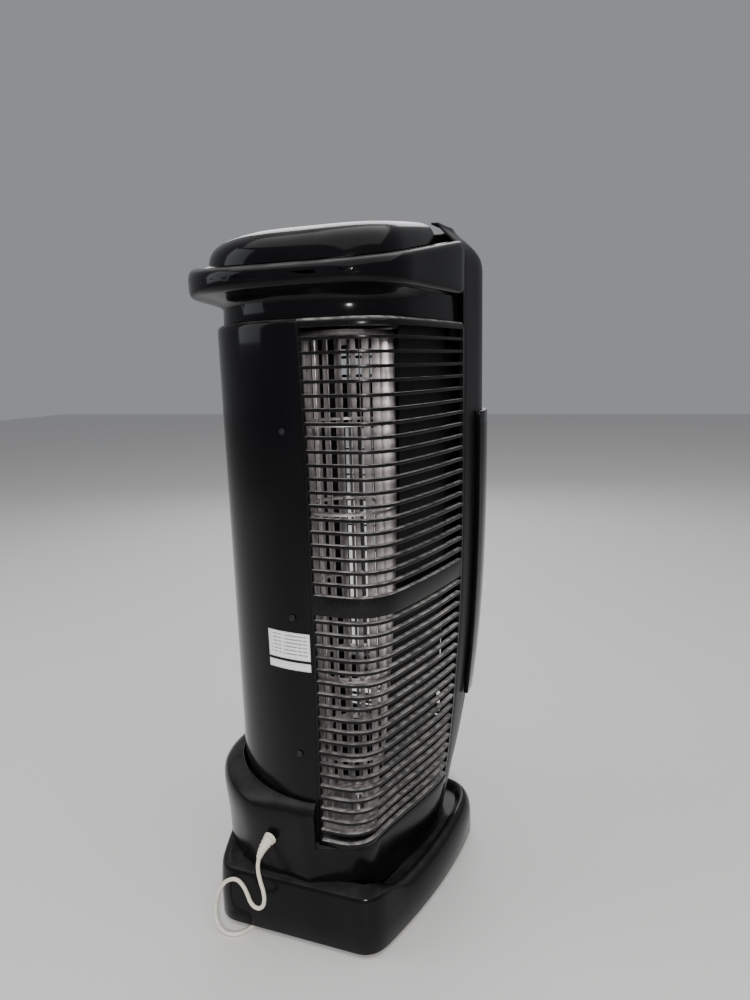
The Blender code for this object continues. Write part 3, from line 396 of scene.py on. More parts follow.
def boot_foot(x, y):
    return DECK_Z + 0.0006 + (0.0815 - DECK_Z) * max(ease(y, 0.085, 0.138), ease(x, 0.050, 0.085))


def boot(finish):
    """The housing that wraps the column's lower end, rolled in at its top."""
    clear = WALL + 0.0008
    sections = np.array((
        (0.00, 0.82), (0.12, 0.825), (0.25, 0.84), (0.38, 0.87), (0.50, 0.92), (0.62, 0.965), (0.72, 0.995),
        (0.80, 0.985), (0.86, 0.94), (0.91, 0.82), (0.95, 0.60), (0.98, 0.32), (1.0, 0.0)))
    rows = []
    for share, swell in sections:
        low = case_path(DECK_Z + (BOOT_REAR_Z - DECK_Z) * share)
        path = level_back(shifted(low, lambda x, y: clear * ease(x, -0.055, -0.030)
                                  + boot_swell(x, y) * swell))
        rows.append([(x, y, boot_foot(x, y) + (boot_top(x, y) - boot_foot(x, y)) * share) for x, y in path])
    notch = ((-0.40, -0.14, GRILLE_BOTTOM_Z - 0.0006), (-0.0284, 0.26, 0.32))
    add("boot", solid(skin("boot", rows), WALL, 0.0005, cut=notch), finish, replaces=("lower_housing",))


# ---- the rear shell and the grille ----


LEDGE = ((0.7560, 0.0), (0.7600, -0.0003), (0.7625, -0.0012), (0.7642, -0.0030),
         (0.7652, -0.0050), (CASE_TOP_Z - 0.0004, -0.0080))


def rear_shell(finish):
    rows = []
    for z, inset in [*[(z, 0.0) for z in np.linspace(SHELL_BOTTOM_Z, 0.74, 22)], *LEDGE]:
        path = shifted(shell_path(z), inset)
        path[0] = (path[0][0], CASE_BACK_Y)
        path[-1] = (grille_left_x(z) + GAP, path[-1][1])
        rows.append(at_height(path, z))
    add("rear_panel", solid(skin("rear_panel", rows), WALL, 0.0004), finish, replaces=("rear_shell",))


def intake_grille(finish):
    """Rounded bars round the rear right corner, tied by ribs at both ends."""
    bars = [(BAR_TOP_Z - BAR_PITCH * i - BAR_THICK / 2, BAR_TOP_Z - BAR_PITCH * i + BAR_THICK / 2)
            for i in range(BAR_COUNT) if i not in BAND_ROWS]
    bars = sorted([*bars, (BAND_LOW_Z, BAND_HIGH_Z)])
    bars[0] = (GRILLE_BOTTOM_Z, bars[0][1])
    rows, full = [], []
    for low, high in bars:
        rows += [at_height(grille_path(low), low), at_height(grille_path(high), high)]
        full += [True, False]
    for z, inset in LEDGE:
        path = shifted(grille_path(z), inset)
        path[-1] = (path[-1][0], CASE_BACK_Y)
        rows.append(at_height(path, z))
        full.append(True)
    last = len(rows[0]) - 2
    mesh = skin("side_grille", rows, keep=lambda i, j: full[i] or j in (0, last))
    add("side_grille", solid(mesh, BAR_DEPTH, 0.0007), finish, replaces=("intake_grille",))


# ---- the front ----


def front_face_y(z):
    return -(0.166 - 0.028 * lean(z) ** 3)


def front_path(z, back=FRAME_BACK_Y):
    """The front frame's outline, from the right side round the front to the left side."""
    right = side_x(z, FRONT_SIDE_Y)
    face = front_face_y(z)
    sides = [(side_x(z, y), y) for y in np.linspace(back, FRONT_SIDE_Y, 6)[:-1]]
    start, corner, end = (right, FRONT_SIDE_Y), (right - 0.002, face), (right + 0.026, face)
    turn = [mix(mix(start, corner, t), mix(corner, end, t), t) for t in np.linspace(0, 1, 13)]
    half = [*sides, *turn, (max(COLUMN_X - WINDOW_HALF_WIDTH, right + 0.032), face)]
    return [*half, *[(2 * COLUMN_X - x, y) for x, y in reversed(half)]]


def frame_pull(z):
    """How far the front frame narrows and falls back at its rounded top."""
    return 0.036 * ease(z, 0.826, 0.893) ** 2.2


def front_frame(finish):
    """The front moulding, open where the air leaves and rounded in at its top."""
    levels = [*np.linspace(0.050, 0.170, 7), 0.212, 0.255, *np.linspace(0.28, 0.61, 12), 0.634, 0.690,
              0.740, 0.775, 0.808, *np.linspace(0.823, 0.873, 9), 0.878, 0.8825, 0.886, 0.888]
    rows = []
    for z in levels:
        pull = frame_pull(z)
        narrow = 1 - pull / FRAME_HALF_WIDTH
        rows.append([(COLUMN_X + (x - COLUMN_X) * narrow, y + pull * 0.55 * ease(-y, 0.08, 0.15), z)
                     for x, y in front_path(z)])
    for part in (0.25, 0.6, 1.0):
        rows.append([(COLUMN_X + (x - COLUMN_X) * (1 - 0.08 * part), y + 0.009 * part * ease(-y, 0.08, 0.15),
                      z + 0.0006 * part) for x, y, z in rows[len(levels) - 1]])
    windows = ((0.170, 0.212), (0.255, 0.634), (0.690, 0.740))
    face = len(rows[0]) // 2 - 1

    def keep(i, j):
        return j != face or not any(a <= rows[i][0][2] < b for a, b in windows)

    add("front_moulding", solid(skin("front_moulding", rows, keep), WALL, 0.0006), finish,
        replaces=("front_frame",))


def cassette(finish):
    """The raised frame over the outlet, with its cross slats."""
    gap = (OUTLET_HIGH_Z - OUTLET_LOW_Z) / 9
    levels, full = [CASSETTE_LOW_Z, OUTLET_LOW_Z], [True]
    for i in range(1, 9):
        z = OUTLET_LOW_Z + gap * i
        levels += [z - 0.0014, z + 0.0014]
        full += [False, True]
    levels += [OUTLET_HIGH_Z, CASSETTE_HIGH_Z]
    full += [False, True]
    rows = [at_height(shifted(front_path(z, back=-0.088)[1:-1], CASSETTE_PROUD), z) for z in levels]
    middle = len(rows[0]) // 2 - 1
    mesh = skin("louvre_frame", rows, keep=lambda i, j: full[i] or j != middle)
    add("louvre_frame", solid(mesh, CASSETTE_PROUD - 0.0009, 0.0010, segments=3), finish,
        replaces=("louvre_cassette",))


# ---- the wheel ----


def wheel(finish):
    """Forward-curved blades between seven rings."""
    bm = bmesh.new()
    axis = Vector((WHEEL_X, WHEEL_Y, 0)) + SHIFT
    heights = np.linspace(WHEEL_LOW_Z + 0.0005, WHEEL_HIGH_Z - 0.0005, 7)
    for k in range(BLADES):
        grid = []
        for z in heights:
            row = []
            for i in range(6):
                t = i / 5
                radius = 0.0545 + 0.0090 * t
                turn = 2 * math.pi * k / BLADES + 0.075 * t**1.5
                row.append(bm.verts.new(axis + Vector((radius * math.cos(turn), radius * math.sin(turn), z))))
            grid.append(row)
        for a, b in zip(grid, grid[1:]):
            for i in range(5):
                bm.faces.new((a[i], a[i + 1], b[i + 1], b[i]))
    blades = solid(mesh_from(bm, "wheel_blades"), 0.0005, offset=0.0)
    bm = bmesh.new()
    stage = (WHEEL_HIGH_Z - WHEEL_LOW_Z) / WHEEL_STAGES
    profile = ((RING_INNER_R, -RING_HALF), (WHEEL_R, -RING_HALF), (WHEEL_R, RING_HALF),
               (RING_INNER_R, RING_HALF))
    for n in range(WHEEL_STAGES + 1):
        mid = min(max(WHEEL_LOW_Z + stage * n, WHEEL_LOW_Z + RING_HALF), WHEEL_HIGH_Z - RING_HALF)
        loops = []
        for k in range(72):
            turn = 2 * math.pi * k / 72
            loops.append([bm.verts.new(axis + Vector((r * math.cos(turn), r * math.sin(turn), mid + z)))
                          for r, z in profile])
        for k in range(72):
            a, b = loops[k], loops[(k + 1) % 72]
            for i in range(4):
                bm.faces.new((a[i], b[i], b[(i + 1) % 4], a[(i + 1) % 4]))
    rings = mesh_from(bm, "wheel_rings")
    rings.shade_smooth()
    rings.set_sharp_from_angle(angle=math.radians(35))
    add("wheel_blades", blades, finish, ROTOR, replaces=("wheel",))
    add("wheel_rings", rings, finish, ROTOR)


# ---- the head ----


def rim_z(x, y):
    return RIM_Z + RIM_SLOPE * (0.145 - y)


def band_path():
    """The head band's outline: a wide visor on the left and rear, close to the case on the right."""
    radius, cx, cy = 0.139, 0.016, 0.024
    left = [(0.1345, CASE_BACK_Y), (0.1402, -0.042), (0.1455, -0.030), (0.1496, -0.017), (0.1525, -0.003),
            (0.1545, 0.010)]
    arc = [(cx + radius * math.cos(a), cy + radius * math.sin(a)) for a in np.linspace(0, math.pi / 2, 41)]
    start, corner, end = (-0.060, 0.163), (-0.1400, 0.163), (-0.1490, 0.088)
    turn = [mix(mix(start, corner, t), mix(corner, end, t), t) for t in np.linspace(0, 1, 25)]
    right = [(-0.1516, 0.070), (-0.1545, 0.052), (-0.1580, 0.030), (-0.1615, 0.008), (-0.1642, -0.009),
             (-0.1665, -0.025), (-0.1684, -0.040), (-0.1702, CASE_BACK_Y)]
    return [*left, *[(float(x), float(y)) for x, y in arc], *turn, *right]


def neck_path():
    """The neck's outline with as many points as the band's."""
    y = rear_y(CASE_TOP_Z)
    left = [(left_x(CASE_TOP_Z, v), v) for v in (CASE_BACK_Y, -0.044, -0.035, -0.024, -0.014, -0.006)]
    corner = corner_curve(CASE_TOP_Z, 0.074, np.linspace(0, 1, 25))
    first, last = y - 0.074, CASE_BACK_Y
    side = [(side_x(CASE_TOP_Z, first + (last - first) * i / 8), first + (last - first) * i / 8)
            for i in range(1, 9)]
    return [*left, *flank(CASE_TOP_Z), *corner, *side]


def head(finish):
    """Neck, visor lip and rim in one moulding."""
    neck, band = neck_path(), band_path()
    rows = [at_height(level_back(shifted(neck, -0.0080)), CASE_TOP_Z + 0.0004),
            at_height(level_back(shifted(neck, -0.0085)), 0.778),
            at_height(level_back(shifted(neck, -0.0085)), 0.785)]
    inner, outer = shifted(neck, -0.0085), shifted(band, -0.010)
    for share, z in ((0.12, 0.7885), (0.30, 0.7905), (0.5, 0.7925), (0.78, 0.7948)):
        rows.append(at_height(level_back([mix(a, b, share) for a, b in zip(inner, outer)]), z))
    for inset, z in ((-0.0100, 0.7965), (-0.0068, 0.7973), (-0.0035, 0.7987), (-0.0014, 0.8010),
                     (-0.0004, 0.8040), (0.0, 0.8085), (0.0, 0.8120)):
        rows.append(at_height(level_back(shifted(band, inset)), z))
    for inset, drop in ((0.0, 0.0120), (-0.0002, 0.0090), (-0.0010, 0.0060), (-0.0025, 0.0030),
                        (-0.0045, 0.0012), (-0.0075, 0.0003), (-0.0110, 0.0), (-0.0200, 0.0),
                        (-0.0235, 0.0008), (-0.0260, 0.0040)):
        rows.append(at_height(level_back(shifted(band, inset)),
                              lambda x, y: rim_z(x, y) - drop - 0.002 * ease(x, 0.05, 0.14)))
    add("head", solid(skin("head", rows), WALL, 0.0004), finish, replaces=("head_housing",))


def dome_path():
    """The lid's closed outline at its foot, the straight front last."""
    front = LID_FRONT_Y
    radius, cx, cy = 0.116, 0.010, 0.029
    left = [(0.1215, front), (0.1236, -0.016), (0.1250, 0.000), (0.1258, 0.016)]
    arc = [(cx + radius * math.cos(a), cy + radius * math.sin(a)) for a in np.linspace(0.05, math.pi / 2, 32)]
    start, corner, end = (-0.055, 0.145), (-0.1235, 0.145), (-0.1320, 0.078)
    turn = [mix(mix(start, corner, t), mix(corner, end, t), t) for t in np.linspace(0, 1, 22)]
    right = [(-0.1334, 0.060), (-0.1345, 0.045), (-0.1359, 0.025), (-0.1370, 0.005), (-0.1376, -0.015),
             (-0.1380, front)]
    across = [(-0.1380 + 0.2595 * i / 16, front) for i in range(1, 16)]
    return [*left, *[(float(x), float(y)) for x, y in arc], *turn, *right, *across]


def dome(finish):
    """The crowned lid, cut off square at its front."""
    outline = dome_path()
    front = LID_FRONT_Y
    profile = ((1.0, 0.0), (0.999, 0.08), (0.996, 0.16), (0.990, 0.29), (0.978, 0.42), (0.962, 0.54),
               (0.94, 0.64), (0.91, 0.73), (0.87, 0.80), (0.81, 0.862), (0.74, 0.91), (0.63, 0.948),
               (0.52, 0.975), (0.39, 0.990), (0.26, 1.0), (0.10, 1.0))
    rows = []
    for size, rise in profile:
        row = []
        for x, y in outline:
            px, py = COLUMN_X + (x - COLUMN_X) * size, front + (y - front) * size
            base = rim_z(px, y) + 0.0012 - 0.002 * ease(x, 0.05, 0.14)
            fall = 0.006 * ease(px, 0.02, 0.12) if size > 0.3 else 0.0
            top = DOME_TOP_Z - DOME_SLOPE * (py - front) - fall
            row.append((px, py, base + (top - base) * rise))
        rows.append(row)
    add("lid", solid(skin("lid", rows, ring=True, lid=True), WALL), finish, replaces=("dome_lid",))


def panel_surround(finish):
    """The tray round the control panel: from the lid's front to the frame's inner wall."""
    half_x, half_y = 0.115, 0.036
    outer, inner = [], []
    for x, y in front_path(0.860, back=LID_FRONT_Y):
        pull = frame_pull(rim_z(x, y) - TRAY_SINK)
        px = COLUMN_X + (x - COLUMN_X) * (1 - pull / FRAME_HALF_WIDTH - 0.012)
        py = y + (pull * 0.55 + 0.0020) * ease(-y, 0.08, 0.15)
        dx, dy = px - COLUMN_X, py - PANEL_Y
        share = min(half_x / abs(dx), half_y / abs(dy)) if dy else half_x / abs(dx)
        outer.append((px, py))
        inner.append((COLUMN_X + dx * share, PANEL_Y + dy * share))
    rows = [at_height(path, lambda x, y: rim_z(x, y) - TRAY_SINK) for path in (outer, inner)]
    add("panel_tray", solid(skin("panel_tray", rows, ring=True), 0.0012), finish)
    across = [-0.1375 + 0.258 * i / 12 for i in range(13)]
    rows = [[(x, LID_FRONT_Y, rim_z(x, LID_FRONT_Y) - TRAY_SINK - 0.001) for x in across],
            [(x, LID_FRONT_Y, rim_z(x, LID_FRONT_Y) + 0.001 - 0.002 * ease(x, 0.05, 0.14)) for x in across]]
    add("panel_back", solid(skin("panel_back", rows), 0.0012), finish)


# ---- the mains lead ----


GLAND_KNOTS = ((0.0300, 0.1605, 0.1360), (0.0308, 0.1650, 0.1352), (0.0334, 0.1698, 0.1310),
               (0.0368, 0.1725, 0.1240), (0.0396, 0.1738, 0.1165))
GLAND_RADII = (0.0085, 0.0075, 0.0062, 0.0048, 0.0036)
CORD_KNOTS = (
    (0.0399, 0.1740, 0.1156),
    (0.0412, 0.1757, 0.1030),
    (0.0378, 0.1782, 0.0880),
    (0.0322, 0.1810, 0.0740),
    (0.0310, 0.1828, 0.0625),
    (0.0344, 0.1835, 0.0544),
    (0.0425, 0.1830, 0.0510),
    (0.0506, 0.1815, 0.0544),
    (0.0560, 0.1797, 0.0630),
    (0.0630, 0.1780, 0.0730),
    (0.0720, 0.1770, 0.0785),
    (0.0835, 0.1770, 0.0755),
    (0.0950, 0.1772, 0.0640),
    (0.1025, 0.1778, 0.0470),
    (0.1055, 0.1790, 0.0300),
    (0.1030, 0.1815, 0.0145),
    (0.0940, 0.1840, 0.0050),
    (0.0830, 0.1845, 0.0029),
    (0.0710, 0.1795, 0.0028),
    (0.0625, 0.1660, 0.0028),
    (0.0580, 0.1320, 0.0028),
    (0.0550, 0.0800, 0.0028),
    (0.0560, 0.0200, 0.0028),
    (0.0640, -0.0500, 0.0028),
    (0.0800, -0.1200, 0.0028),
    (0.0915, -0.1650, 0.0028),
    (0.0955, -0.2000, 0.0028),
)

COIL_TURNS = 6.25
COIL_WIDE, COIL_TIGHT = 0.0362, 0.0204


def coil_points():
    """The stored lead: one layer wound inwards on the floor, one outwards on top of it."""
    points = []
    count = 90
    half = COIL_TURNS / 2
    for i in range(count + 1):
        turns = COIL_TURNS * i / count
        radius = COIL_WIDE - (COIL_WIDE - COIL_TIGHT) * (1 - abs(turns - half) / half)
        angle = -2 * math.pi * turns
        z = 0.0035 + 0.0052 * ease(turns, half - 0.16, half + 0.16)
        points.append((COIL_X + radius * math.cos(angle), COIL_Y + radius * math.sin(angle), z))
    return points


def lead_curve(name, points, radius, finish, radii=None):
    curve = bpy.data.curves.new(name, "CURVE")
    curve.dimensions = "3D"
    curve.bevel_depth = radius
    curve.bevel_resolution = 5
    curve.resolution_u = 8
    curve.use_fill_caps = True
    spline = curve.splines.new("BEZIER")
    spline.bezier_points.add(len(points) - 1)
    for i, (knot, p) in enumerate(zip(spline.bezier_points, points)):
        knot.co = Vector(p) + SHIFT
        knot.handle_left_type = knot.handle_right_type = "AUTO"
        knot.radius = radii[i] if radii else 1.0
    curve.materials.append(finish)
    obj = bpy.data.objects.new(name, curve)
    bpy.context.scene.collection.objects.link(obj)
    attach(obj, STAND)
    return obj


def run_of(curve):
    """The length of a lead's own line."""
    bpy.context.view_layer.update()
    spline = curve.data.splines[0]
    return spline.calc_length()


def mains_lead(finish, tie_finish):
    """Ribbed strain relief, one lead from it to the plug, and the tie on its coil."""
    rings = 22
    share = np.linspace(0, 1, len(GLAND_KNOTS))
    knots, radii = [], []
    for i in range(rings):
        t = i / (rings - 1)
        knots.append(tuple(float(np.interp(t, share, [k[n] for k in GLAND_KNOTS])) for n in range(3)))
        groove = 0.86 if i % 3 == 1 and 3 < i < rings - 2 else 1.0
        radii.append(float(np.interp(t, share, GLAND_RADII)) / GLAND_RADII[0] * groove)
    gland = lead_curve("strain_relief", knots, GLAND_RADII[0], finish, radii)
    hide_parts("cord_gland")
    plug_x, plug_y = COIL_X - 0.0216, COIL_Y - COIL_WIDE
    tail = [(COIL_X - 0.011, plug_y, 0.0085), (plug_x + 0.0004, plug_y, 0.0083)]
    lead = lead_curve("lead", [*CORD_KNOTS, *coil_points(), *tail], CORD_R, finish)
    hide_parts("mains_cord", "cord_coil")
    round(run_of(lead), 3)
    coil_tie(tie_finish)


def coil_tie(finish):
    """A soft strap round the coil's turns."""
    inner, outer = COIL_TIGHT - 0.0033, COIL_WIDE + 0.0033
    low, high = 0.0008, 0.0121
    half = 0.0055
    rows = []
    for y in (-half, half):
        row = []
        for k in range(32):
            turn = 2 * math.pi * k / 32
            c, s = math.cos(turn), math.sin(turn)
            size = (abs(c) ** 6 + abs(s) ** 6) ** (-1 / 6)
            row.append((COIL_X + (inner + outer) / 2 + c * size * (outer - inner) / 2, COIL_Y + y,
                        (low + high) / 2 + s * size * (high - low) / 2))
        rows.append(row)
    mesh = solid(skin("coil_tie", rows, ring=True), 0.0006, 0.0, offset=-1.0)
    add("coil_tie", mesh, finish)


# ---- finishes ----


class Level:
    """A shader socket that takes part in sums; each sum adds its Math node."""

    def __init__(self, tree, socket):
        self.tree, self.socket = tree, socket

    def math(self, operation, a, b=None, clamp=False):
        node = self.tree.nodes.new("ShaderNodeMath")
        node.operation = operation
        node.use_clamp = clamp
        for i, value in enumerate((a, b)):
            if isinstance(value, Level):
                self.tree.links.new(value.socket, node.inputs[i])
            elif value is not None:
                node.inputs[i].default_value = value
        return Level(self.tree, node.outputs[0])

    def __add__(self, other):
        return self.math("ADD", self, other)

    __radd__ = __add__

    def __sub__(self, other):
        return self.math("SUBTRACT", self, other)

    def __rsub__(self, other):
        return self.math("SUBTRACT", other, self)

    def __mul__(self, other):
        return self.math("MULTIPLY", self, other)

    __rmul__ = __mul__

    def __truediv__(self, other):
        return self.math("DIVIDE", self, other)

    def above(self, limit):
        return self.math("GREATER_THAN", self, limit)

    def below(self, limit):
        return self.math("LESS_THAN", self, limit)

    def held(self):
        return self.math("ADD", self, 0.0, clamp=True)

    def wrap(self, step):
        return self.math("MODULO", self, step)


class Finish:
    """A Principled material under construction."""

    def __init__(self, name, color, roughness, metallic=0.0, coat=0.0, gloss=0.5):
        self.mat = bpy.data.materials.new(name)
        self.mat.use_nodes = True
        self.tree = self.mat.node_tree
        self.shader = self.tree.nodes["Principled BSDF"]
        self.color = color
        self.shader.inputs["Base Color"].default_value = (*color, 1.0)
        self.shader.inputs["Roughness"].default_value = roughness
        self.shader.inputs["Metallic"].default_value = metallic
        self.shader.inputs["Coat Weight"].default_value = coat
        self.shader.inputs["Coat Roughness"].default_value = 0.06
        self.shader.inputs["Specular IOR Level"].default_value = gloss

    def node(self, kind, settings=None, out=0, **values):
        """Add a node; values are keyed by socket name, or n followed by the socket's number."""
        node = self.tree.nodes.new("ShaderNode" + kind)
        for key, value in (settings or {}).items():
            setattr(node, key, value)
        for key, value in values.items():
            socket = node.inputs[int(key[1:])] if key[0] == "n" and key[1:].isdigit() else node.inputs[key]
            if isinstance(value, Level):
                self.tree.links.new(value.socket, socket)
            elif isinstance(value, (tuple, list)) and len(value) == 3 and socket.type == "RGBA":
                socket.default_value = (*value, 1.0)
            else:
                socket.default_value = value
        return Level(self.tree, node.outputs[out])

    def place(self, stretch=(1, 1, 1)):
        """Position on the fan in metres, stretched to draw streaks."""
        where = self.node("TexCoord", out=3)
        return self.node("VectorMath", {"operation": "MULTIPLY"}, n0=where, n1=stretch)

    def grain(self, scale, detail=3.0, stretch=(1, 1, 1)):
        return self.node("TexNoise", Vector=self.place(stretch), Scale=scale, Detail=detail, Roughness=0.5)

    def band(self, level, low, high):
        """0 below low, 1 above high, smooth between."""
        return self.node("MapRange", {"interpolation_type": "SMOOTHSTEP"}, n0=level, n1=low, n2=high)

    def axis(self, vector, number):
        return self.node("SeparateXYZ", out=number, n0=vector)

    def facing_up(self, low, high):
        return self.band(self.axis(self.node("NewGeometry", out=1), 2), low, high)

    def blend(self, share, a, b):
        return self.node("Mix", {"data_type": "RGBA"}, out=2, n0=share, n6=a, n7=b)

    def bump(self, height, strength, distance):
        normal = self.node("Bump", Height=height, Strength=strength, Distance=distance)
        self.feed("Normal", normal)

    def feed(self, socket, level):
        self.tree.links.new(level.socket, self.shader.inputs[socket])


DUST = (0.34, 0.335, 0.33)


def black_plastic(name, roughness, dust, color, haze=0.10, texture=0.0, spots=0.03):
    """Moulded black plastic with wiped smears, fine scratches, specks and settled dust."""
    f = Finish(name, color, roughness, gloss=0.15)
    smear = f.band(f.grain(7.0, 4.0, (1, 1, 0.5)), 0.40, 0.72)
    fine = f.grain(420.0, 2.0)
    scratch = f.band(f.grain(260.0, 2.0, (1, 1, 0.03)), 0.66, 0.80)
    specks = f.band(f.grain(900.0, 1.0), 0.70, 0.76) * (spots * 5)
    patchy = f.band(f.grain(38.0, 5.0), 0.30, 0.66)
    settled = f.facing_up(0.45, 0.97) * (0.45 + patchy * 0.55) * dust
    film = (settled + specks * (0.15 + smear) * 0.12 + smear * haze * 0.08).held()
    f.feed("Base Color", f.blend(film, color, DUST))
    f.feed("Roughness", (roughness + smear * haze + film * 0.55 + scratch * 0.05 + fine * 0.02).held())
    height = fine * (0.25 + texture) + f.grain(60.0, 1.0) * 0.8 - scratch * 0.05
    f.bump(height, 0.10 + texture * 0.5, 0.00035)
    return f.mat


def dusty_bars_painted_highlight():
    """The grille's black, with pale fluff along the bars' upper edges in patches, partly settled dust and
    partly a painted highlight line.
    """
    f = Finish("grille_black", (0.003, 0.003, 0.0035), 0.2, gloss=0.20)
    up = f.facing_up(0.45, 0.85)
    clumps = f.band(f.grain(95.0, 5.0, (1, 1, 1.6)), 0.36, 0.62)
    wide = f.band(f.grain(5.0, 2.0), 0.35, 0.70)
    lint = f.band(f.grain(600.0, 3.0), 0.52, 0.72)
    # Up-facing edges turn pale: partly settled dust, partly a painted highlight along each bar's top.
    film = (up * (0.35 + clumps * 0.60) * (0.50 + wide * 0.50) + lint * wide * 0.03).held()
    f.feed("Base Color", f.blend(film, (0.003, 0.003, 0.0035), (0.52, 0.50, 0.48)))
    f.feed("Roughness", (0.17 + wide * 0.12 + film * 0.6).held())
    f.bump(lint * film + f.grain(300.0, 2.0) * 0.08, 0.35, 0.0005)
    return f.mat


def zinc(name, warm=0.0, dust=0.3, spangle=90.0):
    """Galvanised sheet: crystal spangle, rolling streaks and a dull film."""
    base = (0.64 + warm, 0.63, 0.62 - warm * 0.5)
    f = Finish(name, base, 0.34, metallic=1.0)
    crystal = f.node("TexVoronoi", out=0, Vector=f.place(), Scale=spangle)
    streak = f.grain(420.0, 3.0, (1, 1, 0.04))
    film = f.band(f.grain(26.0, 5.0), 0.40, 0.75) * dust
    tint = f.blend((crystal * 0.8).held(), base, tuple(c * 0.72 for c in base))
    f.feed("Base Color", f.blend(film, tint, (0.44 + warm, 0.41, 0.385)))
    f.feed("Metallic", (1.0 - film * 0.8).held())
    f.feed("Roughness", (0.24 + crystal * 0.25 + streak * 0.14 + film * 0.35).held())
    f.bump(streak * 0.5 + crystal * 0.4, 0.12, 0.0003)
    return f.mat


def blade_zinc_painted_reflection():
    """Bright pressed blades: pinkish-white, a painted reflection of pink wall light on zinc, streaked along
    their length, with grey fluff on the edges.
    """
    f = Finish("blade_zinc_painted_reflection", (0.82, 0.79, 0.77), 0.40, metallic=0.5)
    streak = f.grain(300.0, 3.0, (1, 1, 0.05))
    fluff = f.band(f.grain(70.0, 6.0, (1, 1, 0.5)), 0.50, 0.74)
    # The pale pinkish tones are a painted reflection and painted light, not the zinc's own colour; the grey
    # fluff is dust.
    pink_reflection_tone = f.blend(streak, (0.78, 0.74, 0.73), (0.52, 0.48, 0.475))
    f.feed("Base Color", f.blend(fluff * 0.55, pink_reflection_tone, (0.30, 0.28, 0.27)))
    f.feed("Metallic", (0.55 - fluff * 0.4).held())
    f.feed("Roughness", (0.30 + streak * 0.16 + fluff * 0.35).held())
    f.bump(streak * 0.5 + fluff, 0.15, 0.0003)
    return f.mat


def steel(name, color=(0.70, 0.70, 0.71), roughness=0.24, brushed=700.0):
    f = Finish(name, color, roughness, metallic=1.0)
    lines = f.grain(brushed, 3.0, (1, 0.08, 1))
    tarnish = f.band(f.grain(160.0, 4.0), 0.50, 0.78)
    f.feed("Base Color", f.blend(tarnish * 0.4, color, tuple(c * 0.55 for c in color)))
    f.feed("Roughness", (roughness + lines * 0.16 + tarnish * 0.20).held())
    f.bump(lines, 0.10, 0.0002)
    return f.mat


def ivory_vinyl():
    """Slightly yellowed lead and plug with grime in patches."""
    f = Finish("ivory_vinyl", (0.74, 0.70, 0.60), 0.42)
    grime = f.band(f.grain(55.0, 5.0), 0.48, 0.78)
    age = f.band(f.grain(9.0, 2.0), 0.30, 0.70)
    tint = f.blend(age, (0.76, 0.73, 0.64), (0.70, 0.655, 0.535))
    f.feed("Base Color", f.blend(grime * 0.35, tint, (0.36, 0.34, 0.30)))
    f.feed("Roughness", (0.36 + grime * 0.25 + f.grain(300.0, 2.0) * 0.10).held())
    f.bump(f.grain(800.0, 2.0), 0.08, 0.0002)
    return f.mat


def printed_label(name, low, high, spacing):
    """White film sticker with rows of plain grey bars in place of words."""
    f = Finish(name, (0.80, 0.81, 0.80), 0.42)
    where = f.node("TexCoord", out=3)
    z, x = f.axis(where, 2), f.axis(where, 0)
    line = ((z - low) / spacing).wrap(1.0)
    row = line.above(0.30) * line.below(0.62)
    inside = z.above(low + 0.003) * z.below(high - 0.003) * x.above(-0.0165) * x.below(0.0335)
    words = f.band(f.grain(210.0, 1.0, (1, 1, 0.02)), 0.40, 0.46)
    frame_line = 1.0 - z.above(low + 0.0012) * z.below(high - 0.0012) * x.above(-0.0190) * x.below(0.0358)
    ink = (row * inside * words + frame_line * 0.35).held()
    worn = f.band(f.grain(140.0, 4.0), 0.45, 0.80)
    paper = f.blend(worn * 0.35, (0.80, 0.81, 0.80), (0.62, 0.61, 0.58))
    f.feed("Base Color", f.blend(ink * 0.85, paper, (0.10, 0.10, 0.11)))
    f.feed("Roughness", (0.36 + worn * 0.25).held())
    f.bump(f.grain(500.0, 2.0), 0.06, 0.0002)
    return f.mat


def plain(name, color, roughness, fleck=0.06, scale=600.0):
    """Moulded plastic or rubber with a fine grain and handling marks."""
    f = Finish(name, color, roughness)
    wear = f.band(f.grain(70.0, 4.0), 0.42, 0.75)
    f.feed("Base Color", f.blend(wear * fleck * 4, color, tuple(min(1.0, c * 1.5 + 0.04) for c in color)))
    f.feed("Roughness", (roughness - 0.05 + wear * 0.14).held())
    f.bump(f.grain(scale, 2.0), 0.20, 0.0003)
    return f.mat


def knob_finish():
    """Satin black knob with a moulded skirt, rubbed along the grip."""
    f = Finish("knob_black", (0.012, 0.012, 0.013), 0.34, coat=0.1)
    rub = f.band(f.grain(120.0, 4.0), 0.40, 0.75) * f.facing_up(0.5, 0.9)
    f.feed("Base Color", f.blend(rub * 0.3, (0.012, 0.012, 0.013), (0.10, 0.10, 0.10)))
    f.feed("Roughness", (0.30 + rub * 0.25).held())
    f.bump(f.grain(900.0, 2.0), 0.18, 0.0002)
    return f.mat


def dress(finish, *names):
    """Give CAD nodes that keep their shape their finish."""
    for name in names:
        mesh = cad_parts[name].data
        mesh.materials.clear()
        mesh.materials.append(finish)


# ---- the camera and the studio ----


def aim(obj, place, target):
    obj.location = place
    obj.rotation_euler = (Vector(target) - Vector(place)).to_track_quat("-Z", "Y").to_euler()


def softbox(name, place, target, width, height, power, color=(1, 1, 1)):
    light = bpy.data.lights.new(name, "AREA")
    light.shape = "RECTANGLE"
    light.size, light.size_y = width, height
    light.energy = power
    light.color = color
    obj = bpy.data.objects.new(name, light)
    bpy.context.scene.collection.objects.link(obj)
    aim(obj, place, target)


CAMERA_AT = (-0.37208, 0.85051, 0.7140)
CAMERA_PITCH = math.radians(10.85)
HEADING_X, HEADING_Y = 0.3420, -0.9397
ROLL_COS, ROLL_SIN = 0.99968, -0.02530


